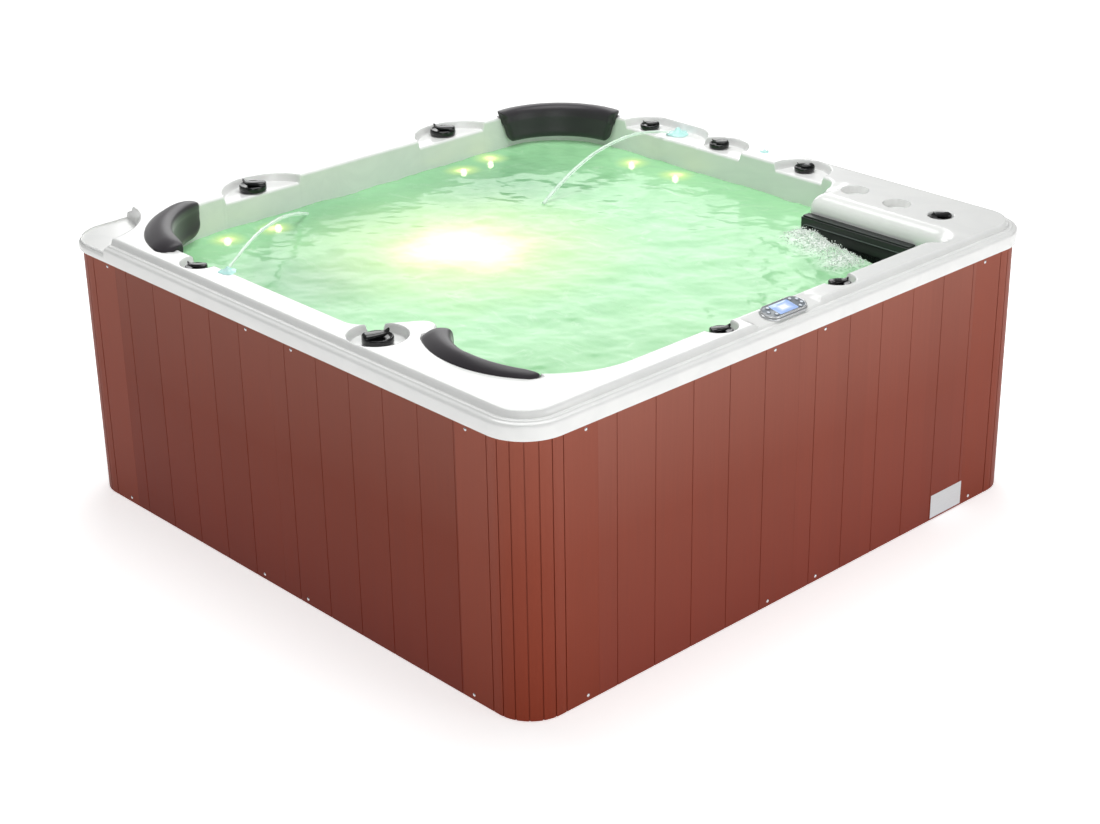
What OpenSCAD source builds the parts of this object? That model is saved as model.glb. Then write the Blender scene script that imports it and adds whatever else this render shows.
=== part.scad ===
/* [Tub] */
// Width over the rim, along X
tub_w = 2100; // [2060:10:2160]
// Depth over the rim, along Y
tub_d = 2080; // [2040:10:2140]
// Height of the deck above the floor
deck_z = 880; // [870:5:900]
// Drop from the deck to the bead that runs round the rim
bead_drop = 18; // [14:1:22]
// Height of the rim's outer band, under the bead
band_h = 50; // [44:1:56]
// Set-in of the raised deck from the rim's outer face
riser_in = 29; // [26:1:32]
// Corner radius of the rim
rim_r = 135; // [125:5:145]
// Thickness of the acrylic shell
shell_t = 8; // [7:0.5:9]
// Radius of the lowered pad at the back left corner
pad_r = 240; // [220:5:250]
// Drop from the deck to the lowered pad
pad_drop = 45; // [42:1:46]

/* [Basin] */
// Deck width at the left side
deck_left = 120; // [114:1:126]
// Deck width at the right side
deck_right = 153; // [148:1:158]
// Deck width at the front side
deck_front = 106; // [102:1:110]
// Deck width at the back side
deck_back = 160; // [156:1:164]
// Radius of the basin's back right corner
back_right_r = 265; // [255:5:275]
// Radius of the basin's back left corner
back_left_r = 330; // [320:5:340]
// Radius of the round head place of the lounge
pod_r = 305; // [300:1:310]
// Distance from the rim to the lounge's head place
pod_in = 176; // [172:1:180]
// Gap between the lounge's foot end and the skimmer wall
foot_gap = 104; // [98:2:110]
// Depth of the shoulder ledge under the deck
shoulder_drop = 120; // [110:5:130]
// Width of the shoulder ledge above the corner seats
ledge_w = 12; // [10:1:14]
// Width of the shoulder ledge above the benches
bench_ledge_w = 30; // [26:1:36]
// How far a backrest leans out from seat to shoulder
lean = 70; // [60:2:80]
// Height of the corner seats above the floor
seat_z = 430; // [420:5:440]
// Height of the benches above the floor
bench_z = 460; // [450:5:470]
// Height of the footwell's bottom above the floor
well_z = 90; // [86:1:94]
// Corner radius of the footwell
well_r = 90; // [80:5:100]

/* [Pockets in the deck] */
// Depth of the pockets that the knobs stand in
pocket_drop = 25; // [23:1:27]
// Depth of the two cup recesses
cup_drop = 40; // [30:1:42]
// Radius of the cup recesses
cup_r = 45; // [42:1:47]
// Width of the sloping place for the control panel
notch_w = 278; // [270:2:290]
// Middle of the control panel along X
panel_x = -33; // [-50:1:-20]

/* [Cabinet] */
// Set-in of the cabinet's face from the rim
skirt_in = 13.5; // [12:0.5:15]
// Corner radius of the cabinet
corner_r = 115; // [110:1:120]
// Thickness of the cabinet panels
panel_t = 14; // [12:0.5:15]
// Gap between the floor and the panels
panel_gap = 3; // [2:1:4]
// Width of one plank
plank_w = 141; // [136:1:146]
// Width of one slat on a corner cover
slat_w = 37; // [36:1:38]
// Width of the grooves between the planks
groove_w = 3.2; // [2.4:0.2:4]
// Depth of the grooves between the planks
groove_d = 3; // [2:0.5:4]
// Reach of a corner cover from the cabinet's corner
cover_reach = 254.5; // [250:0.5:260]
// Shift of the joint between two panels from the side's middle
joint_shift = 9; // [0:1:14]
// Distance of the screws from the panel joint
joint_screw = 104; // [95:1:110]
// Distance of a corner screw from the cabinet's corner
corner_screw = 213.5; // [205:0.5:220]
// Height of the lower screws above the floor
screw_z = 19; // [16:1:24]
// Drop from the rim's lower edge to the upper screws
screw_drop = 18; // [16:1:22]
// Radius of a screw's head
screw_head_r = 5; // [4:0.25:6]
// Radius of a screw's shank
screw_r = 2; // [1.5:0.25:2.5]

// Length of the bare plate at the foot of the front
plate_l = 150; // [140:2:155]
// Height of the bare plate
plate_h = 77; // [70:1:80]
// Thickness of the bare plate
plate_t = 0.6; // [0.5:0.1:1]
// Height of the bare plate's lower edge above the floor
plate_z = 9; // [6:1:12]

/* [Frame] */
// Width of the frame's timbers
rail_w = 40; // [36:1:42]
// Height of the lower rail
low_rail_h = 40; // [36:1:44]
// Height of the upper rail
top_rail_h = 45; // [40:1:50]
// Distance of a post from the tub's middle
post_at = 760; // [750:5:770]
// Thickness of the base tray
tray_t = 6; // [5:0.5:8]
// Distance of the two floor beams from the middle
beam_at = 200; // [180:5:220]
// Width of a floor beam
beam_w = 60; // [50:2:70]

/* [Skimmer] */
// Distance from the rim to the shelf's wall
shelf_in = 315; // [310:1:320]
// Distance from the front rim to the shelf's back end
shelf_len = 640; // [636:1:646]
// Radius of the roll at the shelf's front edge
shelf_roll = 55; // [50:1:58]
// How far the skimmer frame stands out from the wall
skim_t = 35; // [32:1:38]
// Width of the skimmer frame
skim_w = 421; // [416:1:426]
// Drop from the deck to the skimmer frame's top
skim_drop = 58; // [57:1:60]
// Height of the skimmer frame
skim_h = 182; // [176:1:188]
// Height of the weir flap
flap_h = 88; // [84:1:92]
// Thickness of the weir flap
flap_t = 5; // [4:0.5:6]
// Thickness of the filter housing's walls
housing_t = 4; // [3:0.5:5]
// Radius of a filter cartridge
filter_r = 60; // [55:1:62]
// Height of a filter cartridge
filter_h = 200; // [180:5:205]

/* [Knobs and keys] */
// Radius of the three diverter knobs
diverter_r = 43.5; // [42:0.5:45]
// Radius of the seven air knobs
air_r = 33; // [31:0.5:34]
// Height of a diverter knob's cap
diverter_h = 27; // [25:1:29]
// Height of an air knob's cap
air_h = 20; // [18:1:22]
// Gap under the knobs
knob_gap = 1.6; // [1.2:0.1:2]
// Radius of a diverter knob's stem
stem_r = 7; // [6:0.5:8]
// Radius of an air knob's stem
air_stem_r = 4.5; // [4:0.25:5]
// Length of a knob's stem under its cap
stem_l = 34; // [30:1:36]
// Wall round a stem where the valve passes the shell
neck_wall = 3.5; // [3:0.25:3.75]
// Thickness of a valve's flange on the deck
flange_h = 2.4; // [2:0.2:3]
// Running clearance round a stem or shaft
run_gap = 0.05; // [0.03:0.01:0.08]
// Length of the control panel
ctrl_l = 162; // [158:1:166]
// Width of the control panel
ctrl_w = 72; // [70:1:74]
// Height of the control panel's bezel
ctrl_h = 13; // [11:1:14]
// Radius of a key
key_r = 7; // [6:0.5:7.5]
// Travel of a key
key_travel = 1; // [0.6:0.1:1.4]

/* [Pillows] */
// Radius of a pillow's pin
pin_r = 4; // [3:0.5:4.5]
// Place of the pins, as a share of the ledge's width from its outer wall
pin_at = 0.25; // [0.23:0.01:0.27]
// Height of the pillows
pillow_h = 115; // [108:1:118]
// Height of the pillows' tops above the deck
pillow_up = 25; // [20:1:28]
// Clearance of a pillow from the shell
pillow_gap = 0.5; // [0.3:0.1:0.8]

/* [Jets and pump] */
// Radius of a suction cover in the footwell
suction_r = 60; // [50:1:65]
// Radius of a light's lens
led_r = 14; // [12:1:16]
// Radius of a fountain nozzle's flange
fountain_r = 13; // [11:1:15]
// Radius of a jet's face
jet_r = 30; // [26:1:32]
// Radius of a small jet's face
small_jet_r = 19; // [17:1:21]
// Radius of the pump's motor
motor_r = 75; // [70:1:80]
// Radius of the pump's shaft
shaft_r = 8; // [7:0.5:9]
// Radius of the water pipes
pipe_r = 25; // [22:1:28]
// Height of the pipe ring's middle above the floor
ring_z = 325; // [315:5:335]
// Radius of the bends in the pipe ring
bend_r = 120; // [100:5:130]
// Length of the heater tube and of the control box beside it
heater_l = 300; // [280:5:320]
// Outer radius of the heater tube
heater_r = 32; // [28:1:34]
// Wall of the heater tube
heater_wall = 3; // [2:0.5:4]
// Width of the control box
box_w = 120; // [100:5:130]
// Height of the control box's top above the floor
box_top = 250; // [230:5:270]

// Radius of the bore that the supply conduit passes
conduit_r = 12; // [10:0.5:14]
// Height of the conduit's gland above the floor
gland_z = 110; // [90:5:130]
// Radius of the drain's outlet
drain_r = 9; // [8:0.5:10]

/* [Hidden] */
hx = tub_w / 2;
hy = tub_d / 2;
bead_z = deck_z - bead_drop;
rim_z = bead_z - band_h;
pad_z = deck_z - pad_drop;
shoulder_z = deck_z - shoulder_drop;
pocket_z = deck_z - pocket_drop;
fit = 0.3;
over = 2;
seat_fall = shoulder_z - seat_z;
slope = atan(lean / seat_fall);

// Centres of the basin's round stretches
back_right_c = [hx - deck_right - back_right_r, hy - deck_back - back_right_r];
back_left_c = [-hx + deck_left + back_left_r, hy - deck_back - back_left_r];
pod_c = [-hx + pod_in + pod_r, -hy + deck_front + pod_r];
tip_r = 40;
tip_a = 133;
arm_r = 80;
arm_a = 236;
tip_c = pod_c + (pod_r + tip_r) * [cos(tip_a), sin(tip_a)];
arm_n = [cos(arm_a), sin(arm_a)];
arm_x = -hx + deck_left + arm_r;
arm_c = [arm_x, (arm_n * tip_c - arm_r - tip_r - arm_n[0] * arm_x) / arm_n[1]];
shelf_x = hx - shelf_in;
shelf_y = -hy + shelf_len;
shelf_corner_r = 45;
nook_r = 55;
well_x0 = -420;
well_x1 = 470;
well_y0 = -380;
well_y1 = 400;
lounge_y1 = -330;
arm_rest_y = -215;
apron_x0 = 560;
apron_z = deck_z - 320;

function arc(c, r, a0, a1, n) = [for (i = [0:n]) let (a = a0 + (a1 - a0) * i / n) c + r * [cos(a), sin(a)]];

// The basin's edge at the deck, anticlockwise, grown outwards by g
function basin_edge(g) = concat(
    arc(back_right_c, back_right_r + g, 0, 90, 14),
    arc(back_left_c, back_left_r + g, 90, 180, 14),
    arc(arm_c, arm_r + g, 180, arm_a, 7),
    arc(tip_c, g - tip_r, arm_a, tip_a, 9),
    arc(pod_c, pod_r + g, tip_a, 270, 20),
    arc([shelf_x - shelf_corner_r, -hy + deck_front + shelf_corner_r], shelf_corner_r + g, 270, 360, 8),
    arc([shelf_x + shelf_corner_r, shelf_y - shelf_corner_r], g - shelf_corner_r, 360, 270, 8),
    arc([hx - deck_right - nook_r, shelf_y + nook_r], nook_r + g, 270, 360, 8));

// Knobs: place on the deck, angle of the lever's tip
diverters = [[-hx + 636, hy - 118, 140], [hx - 651, hy - 102, 135], [-hx + 121, -hy + 697, -25]];
air_knobs = [
    [hx - 108, hy - 564, 150], [hx - 100, hy - 880, 140], [hx - 92, -hy + 833, 145], [hx - 185, -hy + 215, 150],
    [-hx + 90, hy - 590, 135], [-hx + 802, -hy + 88, -30], [hx - 810, -hy + 88, -35]];
DIVERTER_NAMES = ["diverter_knob_back_left", "diverter_knob_back_right", "diverter_knob_lounge"];
AIR_NAMES = ["air_knob_right_1", "air_knob_right_2", "air_knob_right_3", "air_knob_shelf",
    "air_knob_left", "air_knob_front_1", "air_knob_front_2"];

// Round pockets: centre and radius
pockets = [
    [-hx + 645, hy - 213, 162], [hx - 660, hy - 210, 160],
    [hx - 152, hy - 597, 112], [hx - 152, hy - 728, 112],
    [hx - 150, hy - 920, 105], [hx - 147, -hy + 808, 105],
    [hx - 185, -hy + 215, 41], [-hx + 121, -hy + 697, 86],
    [-hx + 105, hy - 588, 60], [-hx + 802, -hy + 98, 55], [hx - 810, -hy + 98, 55]];
long_pocket = [pockets[2], pockets[3]];
lounge_pocket = pockets[7];
cups = [[hx - 183, -hy + 549], [hx - 193, -hy + 376]];

// Pillows: centre, outer radius, basin radius, middle angle, half angle, thickness inside the basin,
// share of the width at the first and the last end
pillows = [
    [pod_c, pod_r + 45, pod_r, 182.5, 39.5, 12, 1.45, 0.75],
    [back_left_c, back_left_r + 62, back_left_r, 138, 36.5, 38, 1, 1],
    [back_right_c, back_right_r + 22, back_right_r, 45, 48, 37, 1, 1]];
PILLOW_NAMES = ["pillow_lounge", "pillow_back_left", "pillow_back_right"];

// Jets: point on the wall, outward angle, lean of the wall
function on_bucket(c, r, a, z) = let (q = r - ledge_w - lean * (shoulder_z - z) / seat_fall)
    [c[0] + q * cos(a), c[1] + q * sin(a), z, a, slope];
bench_slope = atan(lean / (shoulder_z - bench_z));
function bench_back(w, z) = w - bench_ledge_w - lean * (shoulder_z - z) / (shoulder_z - bench_z);
function on_back(x, z) = [x, bench_back(hy - deck_back, z), z, 90, bench_slope];
function on_right(y, z) = [bench_back(hx - deck_right, z), y, z, 0, bench_slope];
function on_left(y, z) = [-bench_back(hx - deck_left, z), y, z, 180, bench_slope];
pod_lean = 150;
pod_fall = shoulder_z - 400;
pod_slope = atan(pod_lean / pod_fall);
function on_pod(a, z) = let (q = pod_r - ledge_w - pod_lean * (shoulder_z - z) / pod_fall)
    [pod_c[0] + q * cos(a), pod_c[1] + q * sin(a), z, a, pod_slope];
upper_row_z = shoulder_z - 22;
jets = concat(
    [for (a = [112, 138, 164]) on_bucket(back_left_c, back_left_r, a, seat_z + 180)],
    [for (a = [20, 46, 72]) on_bucket(back_right_c, back_right_r, a, seat_z + 180)],
    [for (x = [-360, -180]) on_back(x, bench_z + 150)],
    [for (x = [180, 400]) on_back(x, bench_z + 150)],
    [for (y = [-60, 150, 360]) on_right(y, bench_z + 150)],
    [for (y = [60, 300]) on_left(y, bench_z + 150)],
    [for (a = [150, 182, 214]) on_pod(a, 570)]);
small_jets = concat(
    [for (a = [12, 36, 58, 86]) on_bucket(back_right_c, back_right_r, a, upper_row_z)],
    [for (a = [118, 158]) on_bucket(back_left_c, back_left_r, a, upper_row_z)],
    [for (a = [152, 182, 212]) on_pod(a, 680)]);
leds = concat(
    [on_bucket(back_left_c, back_left_r, 84, upper_row_z)],
    [for (x = [-381, 407, 531]) on_back(x, upper_row_z)],
    [for (y = [486, 277]) on_right(y, upper_row_z)]);
fountains = [[hx - 105, hy - 655], [hx - 80, -hy + 1017], [-hx + 115, hy - 713]];
well_light = [20, well_y1, 300, 90, 0];
suction_in = well_r + suction_r + 10;
suctions = [for (x = [well_x0 + suction_in, well_x1 - suction_in]) [x, well_y0, well_z + suction_r + 15, 270, 0]];

// Necks of the fittings, where they pass the shell
fountain_neck_r = 8;
jet_neck_r = 18;
small_neck_r = 11;
led_neck_r = 8;
suction_neck_r = 24;

// The pump's shaft
pump_y = -hy + 320;
pump_z = tray_t + 110;
pump_x = -60;
volute_r = 95;
volute_l = 90;
motor_l = 280;
bearing_l = 12;

// The control panel lies on a slope from the basin's edge down to the bead
notch_up = 3;
notch_y = -hy + deck_front;
notch_a = atan((deck_z + notch_up - bead_z) / deck_front);
ctrl_y = -hy + 60;
ctrl_z = bead_z + (ctrl_y + hy) * tan(notch_a);
ctrl_end = (ctrl_l - ctrl_w) / 2;
ring_w = 4;
keys = [[-ctrl_end - 17, 0], [-ctrl_end - 2, 17], [-ctrl_end - 2, -17],
    [ctrl_end + 19, 9], [ctrl_end + 19, -9], [ctrl_end + 2, 20], [ctrl_end + 2, -20]];
display_l = 2 * (ctrl_end - key_r);
display_w = ctrl_w - 24;
KEY_NAMES = ["key_jets_1", "key_jets_2", "key_light", "key_up", "key_down", "key_blower", "key_mode"];

// The skimmer's mouth and chamber
skim_y = shelf_y - 17 - skim_w / 2;
mouth_w = skim_w - 66;
housing_x = shelf_x + shell_t + 1 + fit;
chamber_x0 = housing_x + housing_t;
chamber_x = hx - 120;
chamber_z = deck_z - 400;
chamber_top = deck_z - 80;
flap_w = mouth_w - 6;
flap_z = deck_z - 178;
mouth_z = flap_z - 50;
flap_x = shelf_x - skim_t + 8;
hinge_r = 3;

// The cabinet's planes
face_x = hx - skirt_in;
face_y = hy - skirt_in;
panel_top = rim_z + 8;
top_screw_z = rim_z - screw_drop;
rail_z = pad_z - shell_t - top_rail_h;
SIDES = [["front", 0, face_x, face_y], ["right", 90, face_y, face_x],
    ["back", 180, face_x, face_y], ["left", 270, face_y, face_x]];

module rrect(w, d, r) {
    square([w - 2 * r, d], center = true);
    square([w, d - 2 * r], center = true);
    for (sx = [-1, 1], sy = [-1, 1]) translate([sx * (w / 2 - r), sy * (d / 2 - r)]) circle(r, $fn = 96);
}

// Outline in Y and Z, drawn out along X from x0 to x1
module along_x(x0, x1, points) {
    translate([x0, 0, 0]) rotate([90, 0, 90]) linear_extrude(x1 - x0) polygon(points);
}

// Outline in X and Z, drawn out along Y from y0 to y1
module along_y(y0, y1, points) {
    translate([0, y1, 0]) rotate([90, 0, 0]) linear_extrude(y1 - y0) polygon(points);
}

module box(x0, x1, y0, y1, z0, z1) {
    translate([x0, y0, z0]) cube([x1 - x0, y1 - y0, z1 - z0]);
}

// Puts its children on a wall: +Z points out of the wall, into the basin
module on_wall(w) {
    translate([w[0], w[1], w[2]]) rotate([0, 0, w[3]]) rotate([0, w[4] - 90, 0]) children();
}

// The slope that the control panel lies on, cut down by d more
module notch(d) {
    along_x(panel_x - notch_w / 2 - d, panel_x + notch_w / 2 + d, [
        [-hy - over, bead_z - over * tan(notch_a) - d], [notch_y + over, deck_z + notch_up + over * tan(notch_a) - d],
        [notch_y + over, deck_z + 40], [-hy - over, deck_z + 40]]);
}

// The rim and deck as a solid block, drawn in by d on every side
module blank(d, z0) {
    difference() {
        union() {
            translate([0, 0, z0]) linear_extrude(bead_z - d - z0) rrect(tub_w - 2 * d, tub_d - 2 * d, rim_r - d);
            translate([0, 0, z0]) linear_extrude(deck_z - d - z0)
                rrect(tub_w - 2 * (riser_in + d), tub_d - 2 * (riser_in + d), rim_r - riser_in - d);
        }
        translate([-hx, hy, pad_z - d]) cylinder(r = pad_r + d, h = 200, $fn = 96);
        notch(d);
    }
}

module bucket(c, r, z, drop_lean, g) {
    fall = shoulder_z - z;
    k = (fall + over) / fall;
    translate([c[0], c[1], z - g])
        cylinder(r1 = r - ledge_w - drop_lean + g, r2 = r - ledge_w - drop_lean + drop_lean * k + g,
            h = fall + over + g, $fn = 96);
}

// Back of a bench: wall at w, seat at bench_z, open towards the middle at m
function bench_profile(w, m, g) = [
    [m, bench_z - g], [w - bench_ledge_w - lean + g, bench_z - g],
    [w - bench_ledge_w + g, shoulder_z + over], [m, shoulder_z + over]];
function mirrored(points) = [for (p = points) [-p[0], p[1]]];

// Every hollow that is open at the top, grown by g, up to top_z
module hollows(g, top_z) {
    translate([0, 0, shoulder_z - g]) linear_extrude(top_z - shoulder_z + g) polygon(basin_edge(g));
    bucket(back_right_c, back_right_r, seat_z, lean, g);
    bucket(back_left_c, back_left_r, seat_z, lean, g);
    bucket(pod_c, pod_r, shoulder_z - pod_fall, pod_lean, g);
    along_x(back_left_c[0] - g, back_right_c[0] + g, bench_profile(hy - deck_back, well_y1 - 60, g));
    along_y(shelf_y + nook_r - g, back_right_c[1] + g, bench_profile(hx - deck_right, well_x1 - 60, g));
    along_y(arm_rest_y - g, back_left_c[1] + g, mirrored(bench_profile(hx - deck_left, -well_x0 - 60, g)));
    lounge(g);
    translate([(well_x0 + well_x1) / 2, (well_y0 + well_y1) / 2, well_z - g])
        linear_extrude(shoulder_z - well_z + g + over) rrect(well_x1 - well_x0 + 2 * g, well_y1 - well_y0 + 2 * g, well_r + g);
    box(apron_x0 - g, shelf_x + 1 + g, -hy + deck_front + shelf_corner_r - g, shelf_y + nook_r - 5 + g,
        apron_z - g, shoulder_z + over);
    difference() {
        box(shelf_x - 5, shelf_x + shelf_roll, -hy + deck_front + shelf_corner_r, shelf_y - shelf_corner_r,
            deck_z - shelf_roll, top_z);
        translate([shelf_x + shelf_roll, 0, deck_z - shelf_roll]) rotate([90, 0, 0])
            cylinder(r = shelf_roll - g, h = tub_d, center = true, $fn = 96);
    }
    for (p = pockets) translate([p[0], p[1], pocket_z - g]) cylinder(r = p[2] + g, h = top_z - pocket_z + g, $fn = 96);
    box(long_pocket[0][0], long_pocket[0][0] + long_pocket[0][2] + g, long_pocket[1][1], long_pocket[0][1],
        pocket_z - g, top_z);
    translate([lounge_pocket[0], lounge_pocket[1], pocket_z - g]) rotate([0, 0, 56])
        translate([0, -30 - g, 0]) cube([150, 60 + 2 * g, top_z - pocket_z + g]);
    for (p = cups) translate([p[0], p[1], deck_z - cup_drop - g]) cylinder(r = cup_r + g, h = top_z - deck_z + cup_drop + g, $fn = 96);
    for (p = pillows) pillow_ledge(p, g, top_z);
}

// The reclined place: seat, raised knees, dip for the calves and foot end
module lounge(g) {
    x0 = pod_c[0];
    x1 = shelf_x - foot_gap;
    along_y(-hy + deck_front + 25 - g, lounge_y1 + g, [
        [x0, 400 - g], [x0 + 370, 385 - g], [x0 + 610, 500 - g], [x1 - 300, 410 - g],
        [x1 - 80 + g, 400 - g], [x1 + g, shoulder_z + over], [x0, shoulder_z + over]]);
}

// Ring-shaped step that a pillow sits on
module pillow_ledge(p, g, top_z) {
    r1 = p[1] + pillow_gap + g;
    half = p[4] + 2 + g / p[1] * 57;
    translate([p[0][0], p[0][1], pocket_z - g]) rotate([0, 0, p[3] - half])
        rotate_extrude(angle = 2 * half, $fn = 96) translate([p[2] - 10, 0]) square([r1 - p[2] + 10, top_z - pocket_z + g]);
}

module shell() {
    color("whitesmoke") difference() {
        union() {
            difference() {
                blank(0, rim_z);
                blank(shell_t, rim_z - over);
            }
            hollows(shell_t, deck_z - shell_t / 2);
        }
        hollows(0, deck_z + 60);
        notch(0);
        mouth(shelf_x - over, housing_x);
        for (k = diverters) translate([k[0], k[1], pocket_z - 60]) cylinder(r = stem_r + neck_wall + fit, h = 100, $fn = 48);
        for (k = air_knobs) translate([k[0], k[1], pocket_z - 60]) cylinder(r = air_stem_r + neck_wall + fit, h = 100, $fn = 48);
        pillow_pin_places() translate([0, 0, -30]) cylinder(r = pin_r + fit, h = 40, $fn = 32);
        for (f = fountains) translate([f[0], f[1], pocket_z - 60]) cylinder(r = fountain_neck_r + fit, h = 120, $fn = 48);
        for (w = jets) on_wall(w) translate([0, 0, -40]) cylinder(r = jet_neck_r + fit, h = 80, $fn = 48);
        for (w = small_jets) on_wall(w) translate([0, 0, -40]) cylinder(r = small_neck_r + fit, h = 80, $fn = 48);
        for (w = leds) on_wall(w) translate([0, 0, -40]) cylinder(r = led_neck_r + fit, h = 80, $fn = 48);
        for (w = concat(suctions, [well_light])) on_wall(w) translate([0, 0, -40])
            cylinder(r = suction_neck_r + fit, h = 80, $fn = 48);
    }
}

// The cabinet

module base_tray() {
    color("dimgray") linear_extrude(tray_t) ring_plan(0);
}

module ring_plan(d) {
    k = panel_t + fit + d;
    rrect(2 * (face_x - k), 2 * (face_y - k), corner_r - k);
}

module rail(z, h) {
    difference() {
        translate([0, 0, z]) linear_extrude(h) difference() {
            ring_plan(0);
            ring_plan(rail_w);
        }
        screw_places() translate([0, 0, -30]) cylinder(r = screw_r + 0.1, h = 40, $fn = 24);
    }
}

// Each screw's place: +Z points out of the cabinet's face
module screw_places() {
    for (s = SIDES) rotate([0, 0, s[1]]) for (z = [screw_z, top_screw_z],
        x = [-joint_shift - joint_screw, -joint_shift + joint_screw, -s[2] + corner_screw, s[2] - corner_screw])
        translate([x, -s[3], z]) rotate([90, 0, 0]) children();
}

module frame_bottom() {
    beam_l = 2 * (face_x - panel_t - fit - rail_w);
    color("silver") {
        rail(tray_t, low_rail_h);
        for (y = [-beam_at, beam_at]) box(-beam_l / 2, beam_l / 2, y - beam_w / 2, y + beam_w / 2, tray_t, well_z - shell_t);
    }
}

module frame_top() {
    color("silver") rail(rail_z, top_rail_h);
}

module frame_posts() {
    color("silver") for (s = SIDES, x = [-post_at, post_at]) rotate([0, 0, s[1]]) {
        y = -s[3] + panel_t + fit;
        box(x - rail_w / 2, x + rail_w / 2, y, y + rail_w, tray_t + low_rail_h, rail_z);
        box(x - rail_w / 2, x + rail_w / 2, y, y + rail_w, rail_z + top_rail_h, bead_z - shell_t);
    }
}

// Gland and drain stand in the right and back sides: +Z points out of the face
gland_w = 9;
module gland_place() {
    translate([face_x, -400, gland_z]) rotate([0, 90, 0]) children();
}

module drain_place() {
    translate([-300, face_y, gland_z]) rotate([-90, 0, 0]) children();
}

module cable_gland() {
    color("dimgray") gland_place() difference() {
        union() {
            cylinder(r = conduit_r + 9, h = gland_w, $fn = 6);
            translate([0, 0, -panel_t - 16]) cylinder(r = conduit_r + 4, h = panel_t + 17, $fn = 64);
            translate([0, 0, -panel_t - 9]) cylinder(r = conduit_r + 9, h = 8, $fn = 6);
        }
        translate([0, 0, -panel_t - 20]) cylinder(r = conduit_r, h = panel_t + 40, $fn = 64);
    }
}

module drain_valve() {
    color("gray") drain_place() difference() {
        union() {
            cylinder(r = drain_r + 12, h = 8, $fn = 64);
            translate([0, 0, -panel_t - 60]) cylinder(r = drain_r + 4, h = panel_t + 61, $fn = 64);
            translate([0, 0, -panel_t - 11]) cylinder(r = drain_r + 10, h = 10, $fn = 64);
        }
        translate([0, 0, -panel_t - 50]) cylinder(r = drain_r, h = panel_t + 70, $fn = 64);
    }
}

// One flat panel of a side, as seen from outside: planks with grooves between them
module side_panel(s, x0, x1, first, step) {
    count = floor((abs(x1 - x0) - abs(first)) / plank_w);
    rotate([0, 0, s[1]]) translate([0, -s[3], 0]) difference() {
        box(min(x0, x1), max(x0, x1), 0, panel_t, panel_gap, panel_top);
        for (k = [0:count]) translate([x0 + first + step * k * plank_w, 0, panel_gap - over])
            linear_extrude(panel_top) polygon([[-groove_w / 2, -1], [-groove_w / 2, 0.4], [0, groove_d], [groove_w / 2, 0.4], [groove_w / 2, -1]]);
        for (z = [screw_z, top_screw_z]) translate([x0 + (x1 > x0 ? joint_screw : -joint_screw), 0, z])
            rotate([90, 0, 0]) cylinder(r = screw_r + fit, h = 80, center = true, $fn = 24);
        translate([0, s[3], 0]) rotate([0, 0, -s[1]]) {
            gland_place() cylinder(r = conduit_r + 4 + fit, h = 80, center = true, $fn = 64);
            drain_place() cylinder(r = drain_r + 4 + fit, h = 80, center = true, $fn = 64);
        }
    }
}

module panel_a(s) {
    color("indianred") side_panel(s, -joint_shift, -s[2] + cover_reach + fit, -plank_w, -1);
}

module panel_b(s) {
    color("indianred") side_panel(s, -joint_shift + fit, s[2] - cover_reach - fit, plank_w / 2, 1);
}

// Rounded cover of one cabinet corner, with narrow slats
module corner_cover(sx, sy, turn) {
    flat = cover_reach - corner_r;
    bend = corner_r * PI / 2;
    color("brown") translate([sx * (face_x - corner_r), sy * (face_y - corner_r), 0]) rotate([0, 0, turn]) difference() {
        translate([0, 0, panel_gap]) linear_extrude(panel_top - panel_gap) difference() {
            union() {
                circle(corner_r, $fn = 96);
                translate([0, -corner_r]) square([flat, panel_t]);
                translate([-corner_r, 0]) square([panel_t, flat]);
            }
            circle(corner_r - panel_t, $fn = 96);
            translate([0, -corner_r + panel_t]) square(corner_r * 2);
            translate([-corner_r + panel_t, 0]) square(corner_r * 2);
            translate([1, -corner_r / 2]) square(corner_r * 2);
            for (k = [-2:2]) rotate([0, 0, 225 + k * slat_w / corner_r * 180 / PI])
                translate([corner_r, 0]) square([2 * groove_d, groove_w], center = true);
            for (t = [0, 1]) mirror([t, -t]) translate([3 * slat_w - bend / 2, -corner_r])
                square([groove_w, 2 * groove_d], center = true);
        }
        for (t = [0, 1], z = [screw_z, top_screw_z]) mirror([t, -t, 0])
            translate([corner_screw - corner_r, -corner_r, z]) rotate([90, 0, 0]) cylinder(r = screw_r + fit, h = 80, center = true, $fn = 24);
    }
}

module panel_screws() {
    color("silver") screw_places() {
        translate([0, 0, -panel_t - 10]) cylinder(r = screw_r, h = panel_t + 10, $fn = 24);
        rotate_extrude($fn = 32) intersection() {
            translate([0, -screw_head_r * 0.9]) circle(screw_head_r * 1.35, $fn = 48);
            square([screw_head_r, screw_head_r]);
        }
    }
}

module rating_plate() {
    x1 = face_x - cover_reach - 1;
    color("gainsboro") box(x1 - plate_l, x1, -face_y - plate_t, -face_y, plate_z, plate_z + plate_h);
}

// Pillows, knobs and the control panel

// Section of a pillow: [distance from its outer radius towards the middle, height above the ledge]
function pillow_section(p) = let (
    t = p[1] - p[2],
    w = t + p[5],
    top = pocket_drop + pillow_up - 1,
    low = pocket_drop + pillow_up - pillow_h)
    [[0, 2], [0, top * 0.55], [2, top * 0.8], [w * 0.12, top * 0.95], [w * 0.27, top], [w * 0.45, top * 0.99],
     [w * 0.63, top * 0.93], [w * 0.8, top * 0.77], [w * 0.92, top * 0.52], [w * 0.98, top * 0.2],
     [w, -top * 0.2], [w * 0.985, low * 0.45], [w * 0.965, low * 0.72], [w - (w - t) * 0.2, low * 0.9],
     [w - (w - t) * 0.42, low], [w - (w - t) * 0.75, low * 0.95], [t + 2, low * 0.8], [t + 1, low * 0.4],
     [t + 1, 0], [t * 0.6, 0], [t * 0.15, 0]];
PILLOW_RINGS = 30;

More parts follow.
